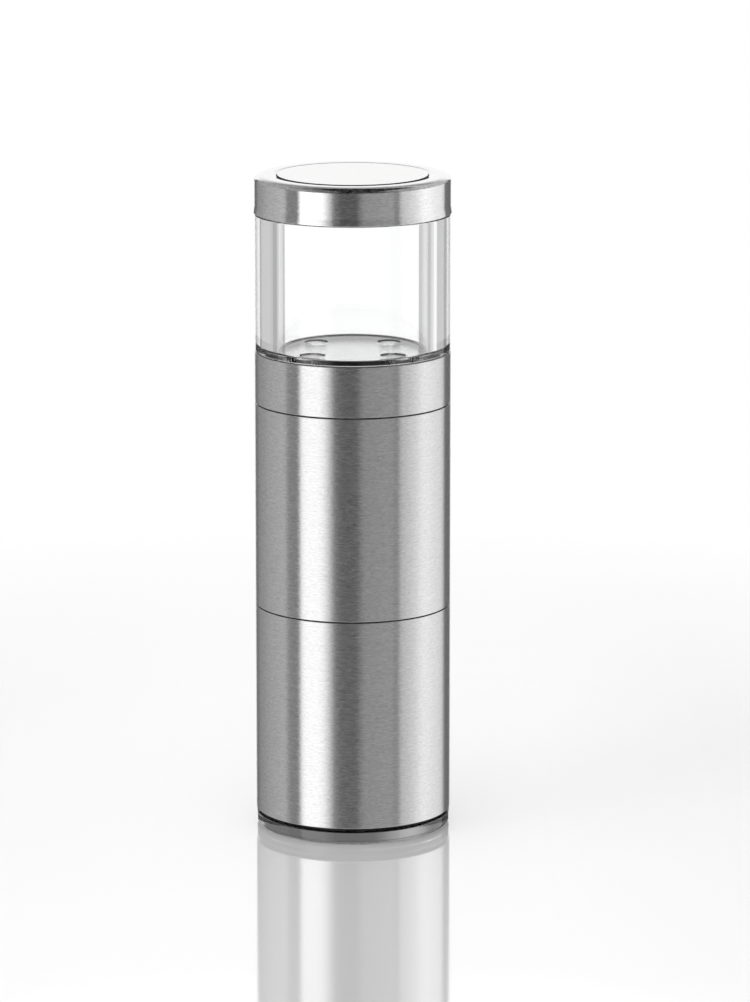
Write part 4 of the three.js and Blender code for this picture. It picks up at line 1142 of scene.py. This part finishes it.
def floor_finish():
    """Pale and glossy round the object, with a dark disc of painted shadow under the foot, the white of the
    room further off, and clear from below.
    """
    material, tree = bare_material("pale_floor")
    x, y, _ = tree.split(tree.node("ShaderNodeTexCoord", output="Object"))
    away = (x * x + y * y) ** 0.5
    aside = risen(x.maths("ABSOLUTE", x), SIDE_START, SIDE_FADE)
    gloss = (1.0 - risen(away, FADE_START, GLOSS_FADE)) * (1.0 - aside) * FLOOR_GLOSS
    far = risen(away, FADE_START, PALE_FADE)
    matt = tree.node("ShaderNodeBsdfDiffuse", None, {"Color": (0.75, 0.75, 0.75, 1)})
    shine = tree.node("ShaderNodeBsdfGlossy", None, {"Color": (1, 1, 1, 1), "Roughness": 0.06})
    surface = tree.node("ShaderNodeMixShader", None, {0: gloss, 1: matt, 2: shine})
    seen = direct_view(tree)
    lift = tree.node("ShaderNodeEmission", None, {"Strength": seen * (1.0 - gloss) * FLOOR_LIFT})
    lit = tree.node("ShaderNodeAddShader", None, [surface, lift])
    # Painted shadow: under the foot the floor is a dark matt disc that stands in for the shade beneath it
    dark = tree.node("ShaderNodeBsdfDiffuse", None, {"Color": (0.10, 0.10, 0.10, 1)})
    under = away.maths("LESS_THAN", away, PAINTED_SHADOW_RADIUS)
    near = tree.node("ShaderNodeMixShader", None, {0: under, 1: lit, 2: dark})
    white = tree.node("ShaderNodeEmission", None, {"Strength": 1.0})
    whole = tree.node("ShaderNodeMixShader", None, {0: seen * far, 1: near, 2: white})
    below = tree.node("ShaderNodeNewGeometry", output="Backfacing")
    clear = tree.node("ShaderNodeBsdfTransparent")
    whole = tree.node("ShaderNodeMixShader", None, {0: below, 1: whole, 2: clear})
    tree.end("ShaderNodeOutputMaterial", whole)
    return material


bm = bmesh.new()
bmesh.ops.create_grid(bm, x_segments=1, y_segments=1, size=FLOOR_SIZE / 2)
bmesh.ops.translate(bm, vec=(0, 0, -FLOOR_SINK * MM), verts=bm.verts)
floor = piece_from("floor", bm)
floor.data.materials.append(floor_finish())
floor.visible_glossy = False


# %% Hang the lamps
def lamp(name, place, aim, size, power):
    light = bpy.data.lights.new(name, "AREA")
    light.shape = "DISK"
    light.size = size
    light.energy = power
    holder = placed(name, light)
    holder.location = place
    holder.rotation_euler = (Vector(aim) - Vector(place)).to_track_quat("-Z", "Y").to_euler()
    for ray in ("camera", "glossy", "transmission"):
        setattr(holder, f"visible_{ray}", False)


lamp("top_lamp", (-0.15, -0.25, 1.15), (0, 0, 0.08), 0.9, 5.0)
lamp("side_lamp", (-0.95, -0.75, 0.55), (0, 0, 0.08), 0.7, 2.2)

# %% Fill the world with plain light
AMBIENT = 0.58
world = bpy.data.worlds.new("studio_air")
bpy.context.scene.world = world
world.use_nodes = True
background = world.node_tree.nodes["Background"].inputs
strength = AMBIENT + direct_view(Tree(world.node_tree)) * (1.0 - AMBIENT)
background["Color"].default_value = (1, 1, 1, 1)
world.node_tree.links.new(strength.socket, background["Strength"])

# %% [markdown]
# ## Camera
# The photographer stood well back and a little above the cap, with a long lens. The place and tilt
# come from the shape of the rings: how far each opens into an ellipse tells the angle at its height.

# %% Place the camera
CAMERA_TILT, CAMERA_TURN = 11.847, -0.2367
CAMERA_PLACE, CAMERA_LENS = (0.0, -1.3690, 0.3716), 196.26
view = bpy.data.cameras.new("camera")
view.lens = CAMERA_LENS
view.sensor_width = 36
view.clip_start = 0.05
camera = placed("camera", view)
camera.location = CAMERA_PLACE
camera.rotation_euler = (math.radians(90 - CAMERA_TILT), 0, math.radians(CAMERA_TURN))
bpy.context.scene.camera = camera
bpy.context.scene.view_settings.view_transform = "Standard"
